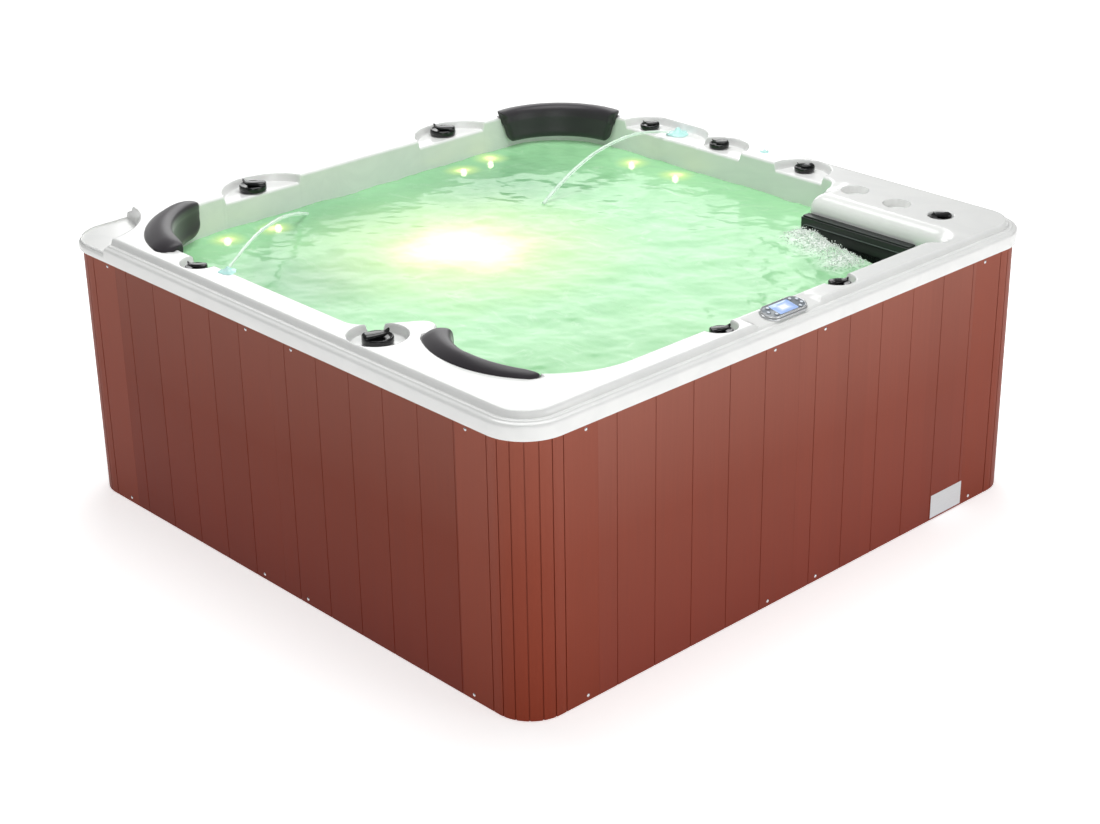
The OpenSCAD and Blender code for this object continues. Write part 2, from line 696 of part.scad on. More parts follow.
// Distance of a section's point from the outer radius, at the share t of the half angle
function pillow_reach(p, q, t) = let (
    ledge = p[1] - p[2] + 1,
    w = ledge - 1 + p[5],
    f = 1 + abs(t) * ((t < 0 ? p[6] : p[7]) - 1))
    q[1] > 0 ? q[0] * f : q[0] < ledge ? q[0] : ledge + (q[0] - ledge) * (w * max(1, f) - ledge) / (w - ledge);

module pillow(p) {
    section = pillow_section(p);
    n = len(section);
    m = PILLOW_RINGS;
    mid = [(p[1] - p[2]) + 6, pocket_drop * 0.7];
    points = concat(
        [for (i = [0:m]) let (t = sin(90 * (2 * i / m - 1)), e = 0.3 + 0.7 * pow(1 - pow(abs(t), 7), 0.5)) for (q = section)
            let (
                u = mid[0] + (pillow_reach(p, q, t) - mid[0]) * e,
                v = mid[1] + (q[1] - mid[1]) * (0.7 + 0.3 * e),
                a = p[3] + t * p[4] * (1 - 0.07 * max(0, -v) / (pillow_h - pocket_drop)),
                r = p[1] - u)
            [p[0][0] + r * cos(a), p[0][1] + r * sin(a), pocket_z + pillow_gap + v]]);
    faces = concat(
        [for (i = [0:m - 1], j = [0:n - 1]) let (a = i * n + j, b = i * n + (j + 1) % n) [a, a + n, b]],
        [for (i = [0:m - 1], j = [0:n - 1]) let (a = i * n + j, b = i * n + (j + 1) % n) [b, a + n, b + n]],
        [[for (j = [0:n - 1]) j]], [[for (j = [n - 1:-1:0]) m * n + j]]);
    color("dimgray") polyhedron(points, faces, convexity = 6);
}

// Each pillow hangs on two pins that stand in the ledge
module pillow_pin_places() {
    for (p = pillows, s = [-0.5, 0.5]) translate([p[0][0], p[0][1], pocket_z]) rotate([0, 0, p[3] + s * p[4]])
        translate([p[1] - (p[1] - p[2]) * pin_at, 0, 0]) children();
}

module pillow_pins() {
    pin_l = shell_t + 14;
    color("gray") pillow_pin_places() translate([0, 0, -pin_l]) {
        cylinder(r = pin_r, h = pin_l + pillow_gap, $fn = 32);
        cylinder(r = pin_r + 2, h = 5, $fn = 32);
    }
}

// Cap with a raised, comma-shaped lever, and the stem that turns in the valve
module knob(k, r, h, stem) {
    z0 = pocket_z + flange_h + knob_gap;
    color("black") translate([k[0], k[1], z0]) rotate([0, 0, k[2]]) {
        rotate_extrude($fn = 64) polygon([[0, 0], [r - 2.5, 0], [r, 2.5], [r, h * 0.45], [r - 1.5, h * 0.6],
            [r - 5, h * 0.66], [0, h * 0.66]]);
        lever(r, h);
        translate([0, 0, -stem_l]) cylinder(r = stem, h = stem_l, $fn = 48);
    }
}

module lever(r, h) {
    translate([0, 0, h * 0.5]) linear_extrude(h * 0.5) {
        translate([-r * 0.5, 0]) circle(r * 0.42, $fn = 48);
        polygon([[-r * 0.5, r * 0.42], [r * 0.3, r * 0.3], [r * 0.78, r * 0.12], [r * 0.86, -r * 0.12], [r * 0.7, -r * 0.2],
            [r * 0.2, -r * 0.24], [-r * 0.5, -r * 0.42]]);
    }
    translate([r * 0.62, 0, h * 0.9]) rotate([90, 0, 0]) linear_extrude(r * 0.3, center = true)
        polygon([[-r * 0.5, 0], [r * 0.1, 0], [r * 0.3, h * 0.45], [r * 0.16, h * 0.45], [-r * 0.1, h * 0.2]]);
}

// Valve under a knob: flange on the deck, neck through the shell, body below
module valve(k, flange_r, stem, body_h) {
    translate([k[0], k[1], 0]) difference() {
        union() {
            translate([0, 0, pocket_z]) cylinder(r = flange_r, h = flange_h, $fn = 64);
            translate([0, 0, pocket_z - shell_t - 30]) cylinder(r = stem + neck_wall, h = 30 + shell_t + flange_h, $fn = 48);
            translate([0, 0, pocket_z - shell_t - body_h]) cylinder(r = stem + neck_wall + 1, h = body_h - 0.2, $fn = 48);
        }
        translate([0, 0, pocket_z + flange_h + knob_gap - stem_l - 1]) cylinder(r = stem + run_gap, h = stem_l + 20, $fn = 48);
    }
}

module diverter_bodies() {
    color("gray") for (k = diverters) {
        valve(k, 26, stem_r, 62);
        for (s = [0, 180]) translate([k[0], k[1], pocket_z - shell_t - 50]) rotate([0, 0, k[2] + s])
            translate([stem_r + neck_wall, 0, 0]) rotate([0, 90, 0]) cylinder(r = 9, h = 18, $fn = 48);
    }
}

module air_valve_bodies() {
    color("gray") for (k = air_knobs) valve(k, 17, air_stem_r, 46);
}

module on_control() {
    translate([panel_x, ctrl_y, ctrl_z + fit]) rotate([notch_a, 0, 0]) children();
}

module stadium(l, w) {
    square([l - w, w], center = true);
    for (s = [-1, 1]) translate([s * (l - w) / 2, 0]) circle(w / 2, $fn = 64);
}

module control_bezel() {
    color("silver") on_control() difference() {
        union() {
            linear_extrude(ctrl_h * 0.45) stadium(ctrl_l, ctrl_w);
            linear_extrude(ctrl_h) stadium(ctrl_l - 6, ctrl_w - 6);
        }
        translate([0, 0, ctrl_h - 2]) linear_extrude(10) stadium(ctrl_l - 6 - 2 * ring_w, ctrl_w - 6 - 2 * ring_w);
        translate([0, 0, ctrl_h - 7]) linear_extrude(20) square([display_l + fit, display_w + fit], center = true);
        for (k = keys) translate([k[0], k[1], ctrl_h - 9]) cylinder(r = key_r + 0.4, h = 20, $fn = 32);
    }
}

module control_display() {
    color("royalblue") on_control() translate([0, 0, ctrl_h - 7]) linear_extrude(6.2) square([display_l, display_w], center = true);
}

module control_key(k) {
    color("black") on_control() translate([k[0], k[1], ctrl_h - 9 + key_travel + 0.2]) {
        cylinder(r = key_r, h = 7.6, $fn = 32);
        translate([0, 0, 7.6]) cylinder(r1 = key_r, r2 = key_r - 1, h = 1, $fn = 32);
    }
}

// Skimmer, filters and water fittings

module skimmer_frame() {
    top = deck_z - skim_drop;
    y0 = skim_y - skim_w / 2;
    color("black") difference() {
        box(shelf_x - skim_t, shelf_x - 0.2, y0, y0 + skim_w, top - skim_h, top);
        box(shelf_x - skim_t - 1, shelf_x + 1, skim_y - mouth_w / 2, skim_y + mouth_w / 2, flap_z - 10, flap_z + flap_h + 8);
        for (i = [0:24]) translate([shelf_x - skim_t - 1, skim_y - mouth_w / 2 + 8 + i * (mouth_w - 16) / 24 - 2, top - skim_h + 14])
            cube([skim_t + 2, 4, flap_z - 10 - (top - skim_h) - 26]);
        translate([flap_x, 0, flap_z]) rotate([90, 0, 0]) translate([0, 0, -skim_y])
            cylinder(r = hinge_r + run_gap, h = mouth_w + 16, center = true, $fn = 32);
    }
}

module weir_flap() {
    color("black") {
        difference() {
            box(flap_x - flap_t / 2, flap_x + flap_t / 2, skim_y - flap_w / 2, skim_y + flap_w / 2, flap_z, flap_z + flap_h);
            for (s = [-1, 1]) translate([flap_x, skim_y + s * (flap_w / 2 - 14), flap_z + flap_h - 14]) rotate([0, -90, 0])
                difference() {
                    translate([0, s > 0 ? 0 : -20, -flap_t]) cube([20, 20, 2 * flap_t]);
                    cylinder(r = 14, h = 5 * flap_t, center = true, $fn = 48);
                }
        }
        translate([flap_x, skim_y, flap_z]) rotate([90, 0, 0]) cylinder(r = hinge_r, h = mouth_w + 12, center = true, $fn = 32);
    }
}

// The way from the basin into the filter housing
module mouth(x0, x1) {
    box(x0, x1, skim_y - mouth_w / 2, skim_y + mouth_w / 2, mouth_z, chamber_top);
}

// Box behind the shell's wall that holds the filters
module filter_housing() {
    t = housing_t;
    color("dimgray") difference() {
        box(housing_x, chamber_x + t, skim_y - mouth_w / 2 - t, skim_y + mouth_w / 2 + t, chamber_z - t, chamber_top + t);
        box(chamber_x0, chamber_x, skim_y - mouth_w / 2, skim_y + mouth_w / 2, chamber_z, chamber_top);
        mouth(housing_x - 1, chamber_x0 + 1);
    }
}

module filter_cartridges() {
    color("ghostwhite") for (s = [-1, 1]) translate([(chamber_x0 + chamber_x) / 2, skim_y + s * 90, chamber_z + fit]) difference() {
        union() {
            cylinder(r = filter_r - 4, h = filter_h, $fn = 72);
            for (z = [0, filter_h - 12]) translate([0, 0, z]) cylinder(r = filter_r, h = 12, $fn = 72);
            for (a = [0:10:350]) rotate([0, 0, a]) translate([filter_r - 5, -1.5, 4]) cube([4, 3, filter_h - 8]);
        }
        translate([0, 0, 10]) cylinder(r = 24, h = filter_h, $fn = 48);
    }
}

module fountain_nozzles() {
    color("silver") for (f = fountains) translate([f[0], f[1], fountain_floor(f)]) difference() {
        union() {
            cylinder(r = fountain_r, h = 4, $fn = 48);
            translate([0, 0, -40]) cylinder(r = fountain_neck_r, h = 40.5, $fn = 48);
        }
        translate([0, 0, -30]) cylinder(r = 3, h = 40, $fn = 24);
    }
}
function in_pocket(f) = len([for (p = pockets) if (norm([f[0] - p[0], f[1] - p[1]]) < p[2]) 1]) > 0
    || (f[1] < pockets[2][1] && f[1] > pockets[3][1] && f[0] > pockets[2][0]);
function fountain_floor(f) = in_pocket(f) ? pocket_z : deck_z;

// Jet on a wall: flange with a raised ring and a nozzle
module jet_face(r, neck) {
    translate([0, 0, 2.6]) difference() {
        union() {
            cylinder(r = r, h = 4, $fn = 48);
            cylinder(r1 = r * 0.8, r2 = r * 0.6, h = 8, $fn = 48);
            translate([0, 0, -shell_t - 6]) cylinder(r = neck, h = shell_t + 7, $fn = 48);
        }
        translate([0, 0, 3]) cylinder(r1 = r * 0.2, r2 = r * 0.5, h = 6, $fn = 48);
        translate([0, 0, -shell_t - 7]) cylinder(r = neck * 0.5, h = 30, $fn = 32);
    }
}

module jet_faces() {
    color("silver") {
        for (w = jets) on_wall(w) jet_face(jet_r, jet_neck_r);
        for (w = small_jets) on_wall(w) jet_face(small_jet_r, small_neck_r);
    }
}

module jet_body(r, neck) {
    translate([0, 0, -shell_t - 32]) difference() {
        union() {
            cylinder(r = neck + 5, h = 29, $fn = 48);
            translate([0, 0, 10]) rotate([0, 90, 0]) cylinder(r = 7, h = neck + 18, $fn = 32);
        }
        translate([0, 0, 4]) cylinder(r = neck + 0.2, h = 40, $fn = 48);
    }
}

module jet_bodies() {
    color("white") {
        for (w = jets) on_wall(w) jet_body(jet_r, jet_neck_r);
        for (w = small_jets) on_wall(w) jet_body(small_jet_r, small_neck_r);
    }
}

module small_lenses() {
    for (w = leds) on_wall(w) {
        translate([0, 0, 1]) rotate_extrude($fn = 48) intersection() {
            translate([0, -14]) circle(19, $fn = 64);
            square([led_r, 8]);
        }
        translate([0, 0, -shell_t - 6]) cylinder(r = led_neck_r, h = shell_t + 8, $fn = 32);
    }
}

module footwell_lens() {
    on_wall(well_light) {
        translate([0, 0, fit]) rotate_extrude($fn = 64) intersection() {
            translate([0, -60]) circle(76, $fn = 96);
            square([46, 20]);
        }
        translate([0, 0, -shell_t - 30]) cylinder(r = suction_neck_r, h = shell_t + 32, $fn = 48);
    }
}

module light_lenses() {
    color("lightcyan") {
        small_lenses();
        footwell_lens();
    }
}

module suction_covers() {
    color("lightgray") for (w = suctions) on_wall(w) difference() {
        union() {
            translate([0, 0, fit]) rotate_extrude($fn = 64) intersection() {
                translate([0, -110]) circle(130, $fn = 96);
                square([suction_r, 30]);
            }
            translate([0, 0, -shell_t - 20]) cylinder(r = suction_neck_r, h = shell_t + 22, $fn = 48);
        }
        translate([0, 0, -shell_t - 22]) cylinder(r = suction_neck_r - 4, h = shell_t + 30, $fn = 48);
        for (a = [0:30:330], q = [30, 44]) rotate([0, 0, a]) translate([q, 0, 10]) cylinder(r = 3.5, h = 40, center = true, $fn = 16);
    }
}

// Pump, heater and controls in the space under the lounge

module along_shaft() {
    translate([pump_x, pump_y, pump_z]) rotate([0, 90, 0]) children();
}

module jet_pump() {
    color("darkslategray") difference() {
        union() {
            along_shaft() cylinder(r = motor_r, h = motor_l, $fn = 72);
            along_shaft() translate([0, 0, -volute_l]) cylinder(r = volute_r, h = volute_l, $fn = 72);
            along_shaft() translate([0, 0, -volute_l - 40]) cylinder(r = pipe_r + 6, h = 41, $fn = 48);
            translate([pump_x - volute_l / 2, pump_y, pump_z]) cylinder(r = pipe_r + 6, h = volute_r + 25, $fn = 48);
            box(pump_x - volute_l + 10, pump_x + motor_l - 30, pump_y - 55, pump_y + 55, tray_t + fit, pump_z - 40);
            for (a = [0:15:345]) along_shaft() rotate([0, 0, a]) translate([motor_r - 2, -2, 30]) cube([7, 4, motor_l - 70]);
        }
        along_shaft() translate([0, 0, -volute_l + 12]) cylinder(r = volute_r - 18, h = volute_l - 24, $fn = 72);
        along_shaft() translate([0, 0, bearing_l]) cylinder(r = motor_r - 12, h = motor_l - 2 * bearing_l, $fn = 72);
        along_shaft() translate([0, 0, -volute_l + 20]) cylinder(r = shaft_r + run_gap, h = volute_l + motor_l - 24, $fn = 48);
        along_shaft() translate([0, 0, -volute_l - 41]) cylinder(r = pipe_r, h = 60, $fn = 48);
        translate([pump_x - volute_l / 2, pump_y, pump_z + 60]) cylinder(r = pipe_r, h = volute_r, $fn = 48);
    }
}

module pump_rotor() {
    color("silver") {
        along_shaft() translate([0, 0, -volute_l + 26]) cylinder(r = shaft_r, h = volute_l + motor_l - 34, $fn = 48);
        along_shaft() translate([0, 0, bearing_l + 30]) cylinder(r = motor_r - 24, h = motor_l - 2 * bearing_l - 60, $fn = 64);
        along_shaft() translate([0, 0, -volute_l + 26]) cylinder(r = volute_r - 32, h = 5, $fn = 64);
        for (a = [0:60:300]) along_shaft() rotate([0, 0, a]) translate([shaft_r - 1, -2, -volute_l + 30])
            cube([volute_r - 34 - shaft_r, 4, 22]);
    }
}

module heater() {
    x0 = pump_x + motor_l + 60;
    z = pump_z + 40;
    foot = 20;
    color("silver") {
        difference() {
            translate([x0, pump_y, z]) rotate([0, 90, 0]) cylinder(r = heater_r, h = heater_l, $fn = 64);
            translate([x0 - 1, pump_y, z]) rotate([0, 90, 0]) cylinder(r = heater_r - heater_wall, h = heater_l + 2, $fn = 64);
        }
        for (x = [x0 + 2 * foot, x0 + heater_l - 3 * foot]) difference() {
            box(x, x + foot, pump_y - heater_r + 2, pump_y + heater_r - 2, tray_t + fit, z - foot);
            translate([x - 1, pump_y, z]) rotate([0, 90, 0]) cylinder(r = heater_r - 0.1, h = foot + 2, $fn = 64);
        }
    }
}

module control_box() {
    x0 = pump_x + motor_l + 60;
    y0 = pump_y + 90;
    lid_in = 10;
    lid_t = 6;
    color("gray") {
        box(x0, x0 + heater_l, y0, y0 + box_w, tray_t + fit, box_top);
        box(x0 + lid_in, x0 + heater_l - lid_in, y0 - lid_t, y0, tray_t + lid_in, box_top - lid_in);
    }
}

// Ring of pipe that feeds the jets: straight runs, elbows and the branch from the pump
module pipework() {
    z = ring_z;
    clip = 18;
    px = face_x - panel_t - rail_w - pipe_r - clip;
    py = face_y - panel_t - rail_w - pipe_r - clip;
    bend = bend_r;
    branch_r = pipe_r - 4;
    branch_x = pump_x - volute_l / 2;
    branch_z = pump_z + volute_r + 25 + fit;
    color("white") {
        for (s = [-1, 1]) {
            translate([s * px, 0, z]) rotate([90, 0, 0]) cylinder(r = pipe_r, h = 2 * (py - bend - fit), center = true, $fn = 48);
            translate([0, s * py, z]) rotate([0, 90, 0]) cylinder(r = pipe_r, h = 2 * (px - bend - fit), center = true, $fn = 48);
            for (y = [-post_at, post_at]) box(s > 0 ? px : -px - pipe_r - clip + fit, s > 0 ? px + pipe_r + clip - fit : -px,
                y - 12, y + 12, z - 6, z + 6);
        }
        for (a = [0, 180]) rotate([0, 0, a]) for (t = [0, 1]) mirror([0, t, 0]) translate([px - bend, py - bend, z])
            rotate_extrude(angle = 90, $fn = 72) translate([bend, 0]) circle(pipe_r, $fn = 48);
        translate([branch_x, pump_y, branch_z]) cylinder(r = pipe_r, h = z + pipe_r + 6 - branch_z, $fn = 48);
        translate([branch_x, (pump_y - py) / 2, z]) rotate([90, 0, 0]) cylinder(r = branch_r, h = abs(py + pump_y), center = true, $fn = 48);
    }
}

shell();
base_tray();
frame_bottom();
frame_posts();
frame_top();
for (s = SIDES) {
    panel_a(s);
    panel_b(s);
}
corner_cover(-1, -1, 0);  // corner_front_left
corner_cover(1, -1, 90);  // corner_front_right
corner_cover(1, 1, 180);  // corner_back_right
corner_cover(-1, 1, 270);  // corner_back_left
panel_screws();
for (i = [0:2]) {
    pillow(pillows[i]);
    knob(diverters[i], diverter_r, diverter_h, stem_r);
}
for (i = [0:6]) {
    knob(air_knobs[i], air_r, air_h, air_stem_r);
    control_key(keys[i]);
}
pillow_pins();
diverter_bodies();
air_valve_bodies();
control_bezel();
control_display();
skimmer_frame();
weir_flap();
filter_housing();
filter_cartridges();
fountain_nozzles();
jet_faces();
jet_bodies();
suction_covers();
light_lenses();
jet_pump();
pump_rotor();
heater();
control_box();
pipework();
cable_gland();
drain_valve();
rating_plate();
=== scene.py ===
import math

import bmesh
import bpy
import numpy as np
from mathutils import Matrix, Vector, geometry, noise


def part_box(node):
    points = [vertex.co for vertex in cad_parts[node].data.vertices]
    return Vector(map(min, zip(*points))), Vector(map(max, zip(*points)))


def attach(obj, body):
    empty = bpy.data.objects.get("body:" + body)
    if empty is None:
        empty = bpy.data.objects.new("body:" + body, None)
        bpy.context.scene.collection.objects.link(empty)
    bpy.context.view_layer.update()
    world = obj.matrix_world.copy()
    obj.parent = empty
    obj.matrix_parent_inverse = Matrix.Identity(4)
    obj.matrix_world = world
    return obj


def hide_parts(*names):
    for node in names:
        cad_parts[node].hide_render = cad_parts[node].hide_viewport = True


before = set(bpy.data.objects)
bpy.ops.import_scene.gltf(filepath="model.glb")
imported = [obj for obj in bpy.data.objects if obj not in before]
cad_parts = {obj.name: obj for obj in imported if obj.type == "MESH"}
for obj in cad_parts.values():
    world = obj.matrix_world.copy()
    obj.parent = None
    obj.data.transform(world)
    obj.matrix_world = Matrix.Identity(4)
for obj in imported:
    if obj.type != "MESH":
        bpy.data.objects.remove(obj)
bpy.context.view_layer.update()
mm = 0.001


# Helpers for colours, nodes and meshes
def srgb(code, alpha=1.0):
    parts = [int(code[i:i + 2], 16) / 255 for i in (1, 3, 5)]
    linear = [c / 12.92 if c <= 0.04045 else ((c + 0.055) / 1.055) ** 2.4 for c in parts]
    return (*linear, alpha)


def addNode(tree, kind, settings=None, links=None):
    # a link may come from a socket, or from a node's first output
    node = tree.nodes.new("ShaderNode" + kind)
    for key, value in (settings or {}).items():
        if isinstance(key, int) or key in node.inputs:
            node.inputs[key].default_value = value
        else:
            setattr(node, key, value)
    for key, source in (links or {}).items():
        tree.links.new(getattr(source, "outputs", [source])[0], node.inputs[key])
    return node


def addObject(name, data):
    added = bpy.data.objects.new(name, data)
    bpy.context.scene.collection.objects.link(added)
    return added


def setStops(node, stops):
    ramp = node.color_ramp
    while len(ramp.elements) < len(stops):
        ramp.elements.new(0.5)
    for element, (place, colour) in zip(ramp.elements, stops):
        element.position = place
        element.color = colour


def startMaterial(name):
    material = bpy.data.materials.new(name)
    material.use_nodes = True
    material.node_tree.nodes.clear()
    return material, material.node_tree


def endMaterial(material, values, links):
    tree = material.node_tree
    shader = addNode(tree, "BsdfPrincipled", values, links)
    addNode(tree, "OutputMaterial", None, {0: shader})
    return material


# Camera, fitted to the corners of the rim and the cabinet
camera = {
    "place": (-4.1838, -4.5162, 3.0666),
    "azimuth": -42.8685,
    "elevation": 24.6597,
    "roll": -0.9394,
    "focalPixels": 2151.2,
    "imageWidth": 1100,
    "sensor": 36.0,
}


def makeCamera():
    a, e = math.radians(camera["azimuth"]), math.radians(camera["elevation"])
    back = Vector((math.sin(a) * math.cos(e), -math.cos(a) * math.cos(e), math.sin(e)))
    right = (-back).cross(Vector((0, 0, 1))).normalized()
    up = right.cross(-back)
    turn = math.radians(camera["roll"])
    camX = math.cos(turn) * right + math.sin(turn) * up
    camY = -math.sin(turn) * right + math.cos(turn) * up
    data = bpy.data.cameras.new("camera")
    data.sensor_width = camera["sensor"]
    data.lens = camera["focalPixels"] / camera["imageWidth"] * camera["sensor"]
    shot = addObject("camera", data)
    turned = Matrix((camX, camY, back)).transposed().to_4x4()
    shot.matrix_world = Matrix.Translation(camera["place"]) @ turned
    bpy.context.scene.camera = shot


makeCamera()
print("camera placed")

# The shell's plan, in millimetres from the middle of the tub
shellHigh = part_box("shell")[1]
halfWide = shellHigh[0] / mm
halfDeep = shellHigh[1] / mm
plan = {
    "deck": 880.0,        # height of the deck
    "bead": 862.0,        # height of the bead round the rim
    "lip": 812.0,         # lower edge of the rim
    "rimRadius": 135.0,
    "padRadius": 240.0,   # lowered pad at the back left corner
    "padDrop": 45.0,
    "padEdge": 9,         # rounding of the pad's outer edge
    "pocket": 855.0,      # floor of the pockets in the deck
    "pocketWall": 13.0,   # reach of a pocket's rounded wall
    "shoulder": 760.0,    # ledge under the deck's inner edge
    "shoulderEdge": 8,    # radius of that ledge's edge
    "deckLeft": 120,      # deck widths at the four sides
    "deckRight": 153,
    "deckFront": 106,
    "deckBack": 160,
    "shelfWall": halfWide - 315,
    "shelfEnd": -halfDeep + 640,
    "shelfCorner": 45,
    "nookRadius": 55,
    "deckEdge": 9.0,      # radius of the deck's inner edge
    "shelfEdge": 55.0,    # radius of the roll above the skimmer
    "draft": 1.5,         # lean of the wall between deck and shoulder
    "water": 770.0,
}
backRightRadius, backLeftRadius, podRadius = 265, 330, 305
podIn = 176
backRight = np.array([halfWide - plan["deckRight"] - backRightRadius,
                      halfDeep - plan["deckBack"] - backRightRadius])
backLeft = np.array([-halfWide + plan["deckLeft"] + backLeftRadius,
                     halfDeep - plan["deckBack"] - backLeftRadius])
podMiddle = np.array([-halfWide + podIn + podRadius, -halfDeep + plan["deckFront"] + podRadius])
armRest = {"tipRadius": 40, "tipTurn": 133, "radius": 80, "turn": 236}
footwell = {"low": (-420, -380), "high": (470, 400), "floor": 90, "radius": 90, "steep": 14}
wellHalf = (np.array(footwell["high"]) - np.array(footwell["low"])) / 2
wellMiddle = (np.array(footwell["high"]) + np.array(footwell["low"])) / 2


def direction(turn):
    return np.array([math.cos(math.radians(turn)), math.sin(math.radians(turn))])


def arcPoints(middle, radius, start, end, step=6.0):
    count = max(3, int(abs(math.radians(end - start) * radius) / step))
    turn = np.radians(np.linspace(start, end, count + 1))
    return np.array(middle) + radius * np.stack([np.cos(turn), np.sin(turn)], 1)


def basinEdge(grow=0.0, step=6.0):
    tipRadius, armRadius = armRest["tipRadius"], armRest["radius"]
    tip = podMiddle + (podRadius + tipRadius) * direction(armRest["tipTurn"])
    normal = direction(armRest["turn"])
    armX = -halfWide + plan["deckLeft"] + armRadius
    arm = np.array([armX, (normal @ tip - armRadius - tipRadius - normal[0] * armX) / normal[1]])
    wall, end, corner, nook = (plan[key] for key in ("shelfWall", "shelfEnd", "shelfCorner", "nookRadius"))
    parts = [
        arcPoints(backRight, backRightRadius + grow, 0, 90, step),
        arcPoints(backLeft, backLeftRadius + grow, 90, 180, step),
        arcPoints(arm, armRadius + grow, 180, armRest["turn"], step),
        arcPoints(tip, grow - tipRadius, armRest["turn"], armRest["tipTurn"], step),
        arcPoints(podMiddle, podRadius + grow, armRest["tipTurn"], 270, step),
        arcPoints((wall - corner, -halfDeep + plan["deckFront"] + corner), corner + grow, 270, 360, step),
        arcPoints((wall + corner, end - corner), grow - corner, 360, 270, step),
        arcPoints((halfWide - plan["deckRight"] - nook, end + nook), nook + grow, 270, 360, step),
    ]
    return fillLine(np.concatenate(parts), step)


def fillLine(points, step, closed=True):
    ring = np.concatenate([points, points[:1]]) if closed else points
    out = []
    for a, b in zip(ring[:-1], ring[1:]):
        count = max(1, int(math.ceil(np.linalg.norm(b - a) / step)))
        out.append(a + (b - a) * np.arange(count)[:, None] / count)
    out = np.concatenate(out)
    return out if closed else np.concatenate([out, ring[-1:]])


def roundRect(half, radius, middle=(0, 0), step=8.0):
    parts = []
    for sx, sy, start in ((1, 1, 0), (-1, 1, 90), (-1, -1, 180), (1, -1, 270)):
        corner = (sx * (half[0] - radius), sy * (half[1] - radius))
        parts.append(arcPoints(corner, radius, start, start + 90, min(step, 5)))
    return fillLine(np.concatenate(parts) + np.array(middle), step)


def rectDistance(p, half, radius, middle=(0, 0)):
    q = np.abs(p - np.array(middle)) - (np.array(half) - radius)
    return np.hypot(*np.maximum(q, 0).T) + np.minimum(q.max(1), 0) - radius


def lineDistance(p, outline):
    a, b = outline, np.roll(outline, -1, 0)
    best = np.full(len(p), 1e9)
    inside = np.zeros(len(p), bool)
    for (ax, ay), (bx, by) in zip(a, b):
        dx, dy = bx - ax, by - ay
        t = np.clip(((p[:, 0] - ax) * dx + (p[:, 1] - ay) * dy) / (dx * dx + dy * dy + 1e-12), 0, 1)
        best = np.minimum(best, (p[:, 0] - ax - t * dx) ** 2 + (p[:, 1] - ay - t * dy) ** 2)
        crosses = (ay > p[:, 1]) != (by > p[:, 1])
        with np.errstate(divide="ignore", invalid="ignore"):
            inside ^= crosses & (p[:, 0] < dx * (p[:, 1] - ay) / (by - ay) + ax)
    return np.where(inside, -1, 1) * np.sqrt(best)


def softMin(a, b, blend):
    h = np.clip(0.5 + 0.5 * (b - a) / blend, 0, 1)
    return b + (a - b) * h - blend * h * (1 - h)


def ease(t):
    t = np.clip(t, 0, 1)
    return t * t * (3 - 2 * t)


# Round pockets in the deck: middle, radius
pockets = [
    ((-halfWide + 645, halfDeep - 213), 162), ((halfWide - 660, halfDeep - 210), 160),
    ((halfWide - 152, halfDeep - 597), 112), ((halfWide - 152, halfDeep - 728), 112),
    ((halfWide - 150, halfDeep - 920), 105), ((halfWide - 147, -halfDeep + 808), 105),
    ((halfWide - 185, -halfDeep + 215), 41), ((-halfWide + 121, -halfDeep + 697), 86),
    ((-halfWide + 105, halfDeep - 588), 60), ((-halfWide + 802, -halfDeep + 98), 55),
    ((halfWide - 810, -halfDeep + 98), 55)]
# straight part between the two pockets at the right, and the lounge pocket's channel to the basin
longPocket = {"half": (56, 65.5), "corner": 1, "middle": (halfWide - 96, halfDeep - 662.5)}
channel = {"from": pockets[7][0], "turn": 56, "half": 28, "length": 150}
cups = [(halfWide - 183, -halfDeep + 549), (halfWide - 193, -halfDeep + 376)]
cupShape = {"radius": 45, "drop": 24, "wall": 7}
# Ledges of the headrests: middle, inner and outer radius, middle angle, half angle, radius of the corners
ledges = {
    "pillow_lounge": (podMiddle, podRadius, podRadius + 45, 182.5, 39.5, 34),
    "pillow_back_left": (backLeft, backLeftRadius, backLeftRadius + 62, 138, 36.5, 42),
    "pillow_back_right": (backRight, backRightRadius, backRightRadius + 22, 45, 48, 12)}
ledgeGap = {"side": 1, "angle": 0.6, "inner": 12, "wall": 8}
notch = {"middle": -33, "width": 278, "rise": 0.198, "wall": 24, "leftGap": 4,
         "rightEnd": ((150, -1040), (118, -1023), (101, -1003), (99, -985), (105, -955), (113, -915))}


def turnedTo(p, middle, turn):
    # how far places lie along a direction from a middle, and across it
    c, s = direction(turn)
    x, y = p[:, 0] - middle[0], p[:, 1] - middle[1]
    return x * c + y * s, y * c - x * s


def ledgeDistance(p, ledge):
    middle, inner, outer, turn, half, corner = ledge
    along, across = turnedTo(p, middle, turn)
    reach = np.hypot(along, across)
    side = (np.abs(np.arctan2(across, along)) - np.radians(half + ledgeGap["angle"])) * reach
    out = reach - outer - ledgeGap["side"] + corner
    end = side + corner
    outside = np.hypot(np.maximum(out, 0), np.maximum(end, 0))
    rounded = outside + np.minimum(np.maximum(out, end), 0) - corner
    return np.maximum(rounded, inner - ledgeGap["inner"] - reach)


# Rim: inset from its outer face and height over the bead, for the rounded edge, bead, riser and deck
rimShape = [
    (0, -17), (0.5, -12.5), (1.6, -9.3), (3.4, -6.9), (5.6, -5.6), (8.5, -4.7), (12, -4.0), (14, -3.2),
    (15.4, -1.2), (17.5, -0.2), (20, 0), (25, 0), (27, 0.8), (29.5, 4.5), (32, 10.8), (34, 14.6),
    (36.5, 17.1), (39, 18), (43, 18)]
# and the lower lip, as inset and height over its lower edge
lipShape = [(0, 3), (0.9, 0.9), (3, 0), (8, 0), (8, 30)]


def sinkTo(z, floor, outside, wall, start=0.75, rise=40, blend=5):
    # lowers the deck to a floor inside the line where outside is 0, with a rounded wall
    return softMin(z, floor + rise * ease(outside / wall + start), blend)


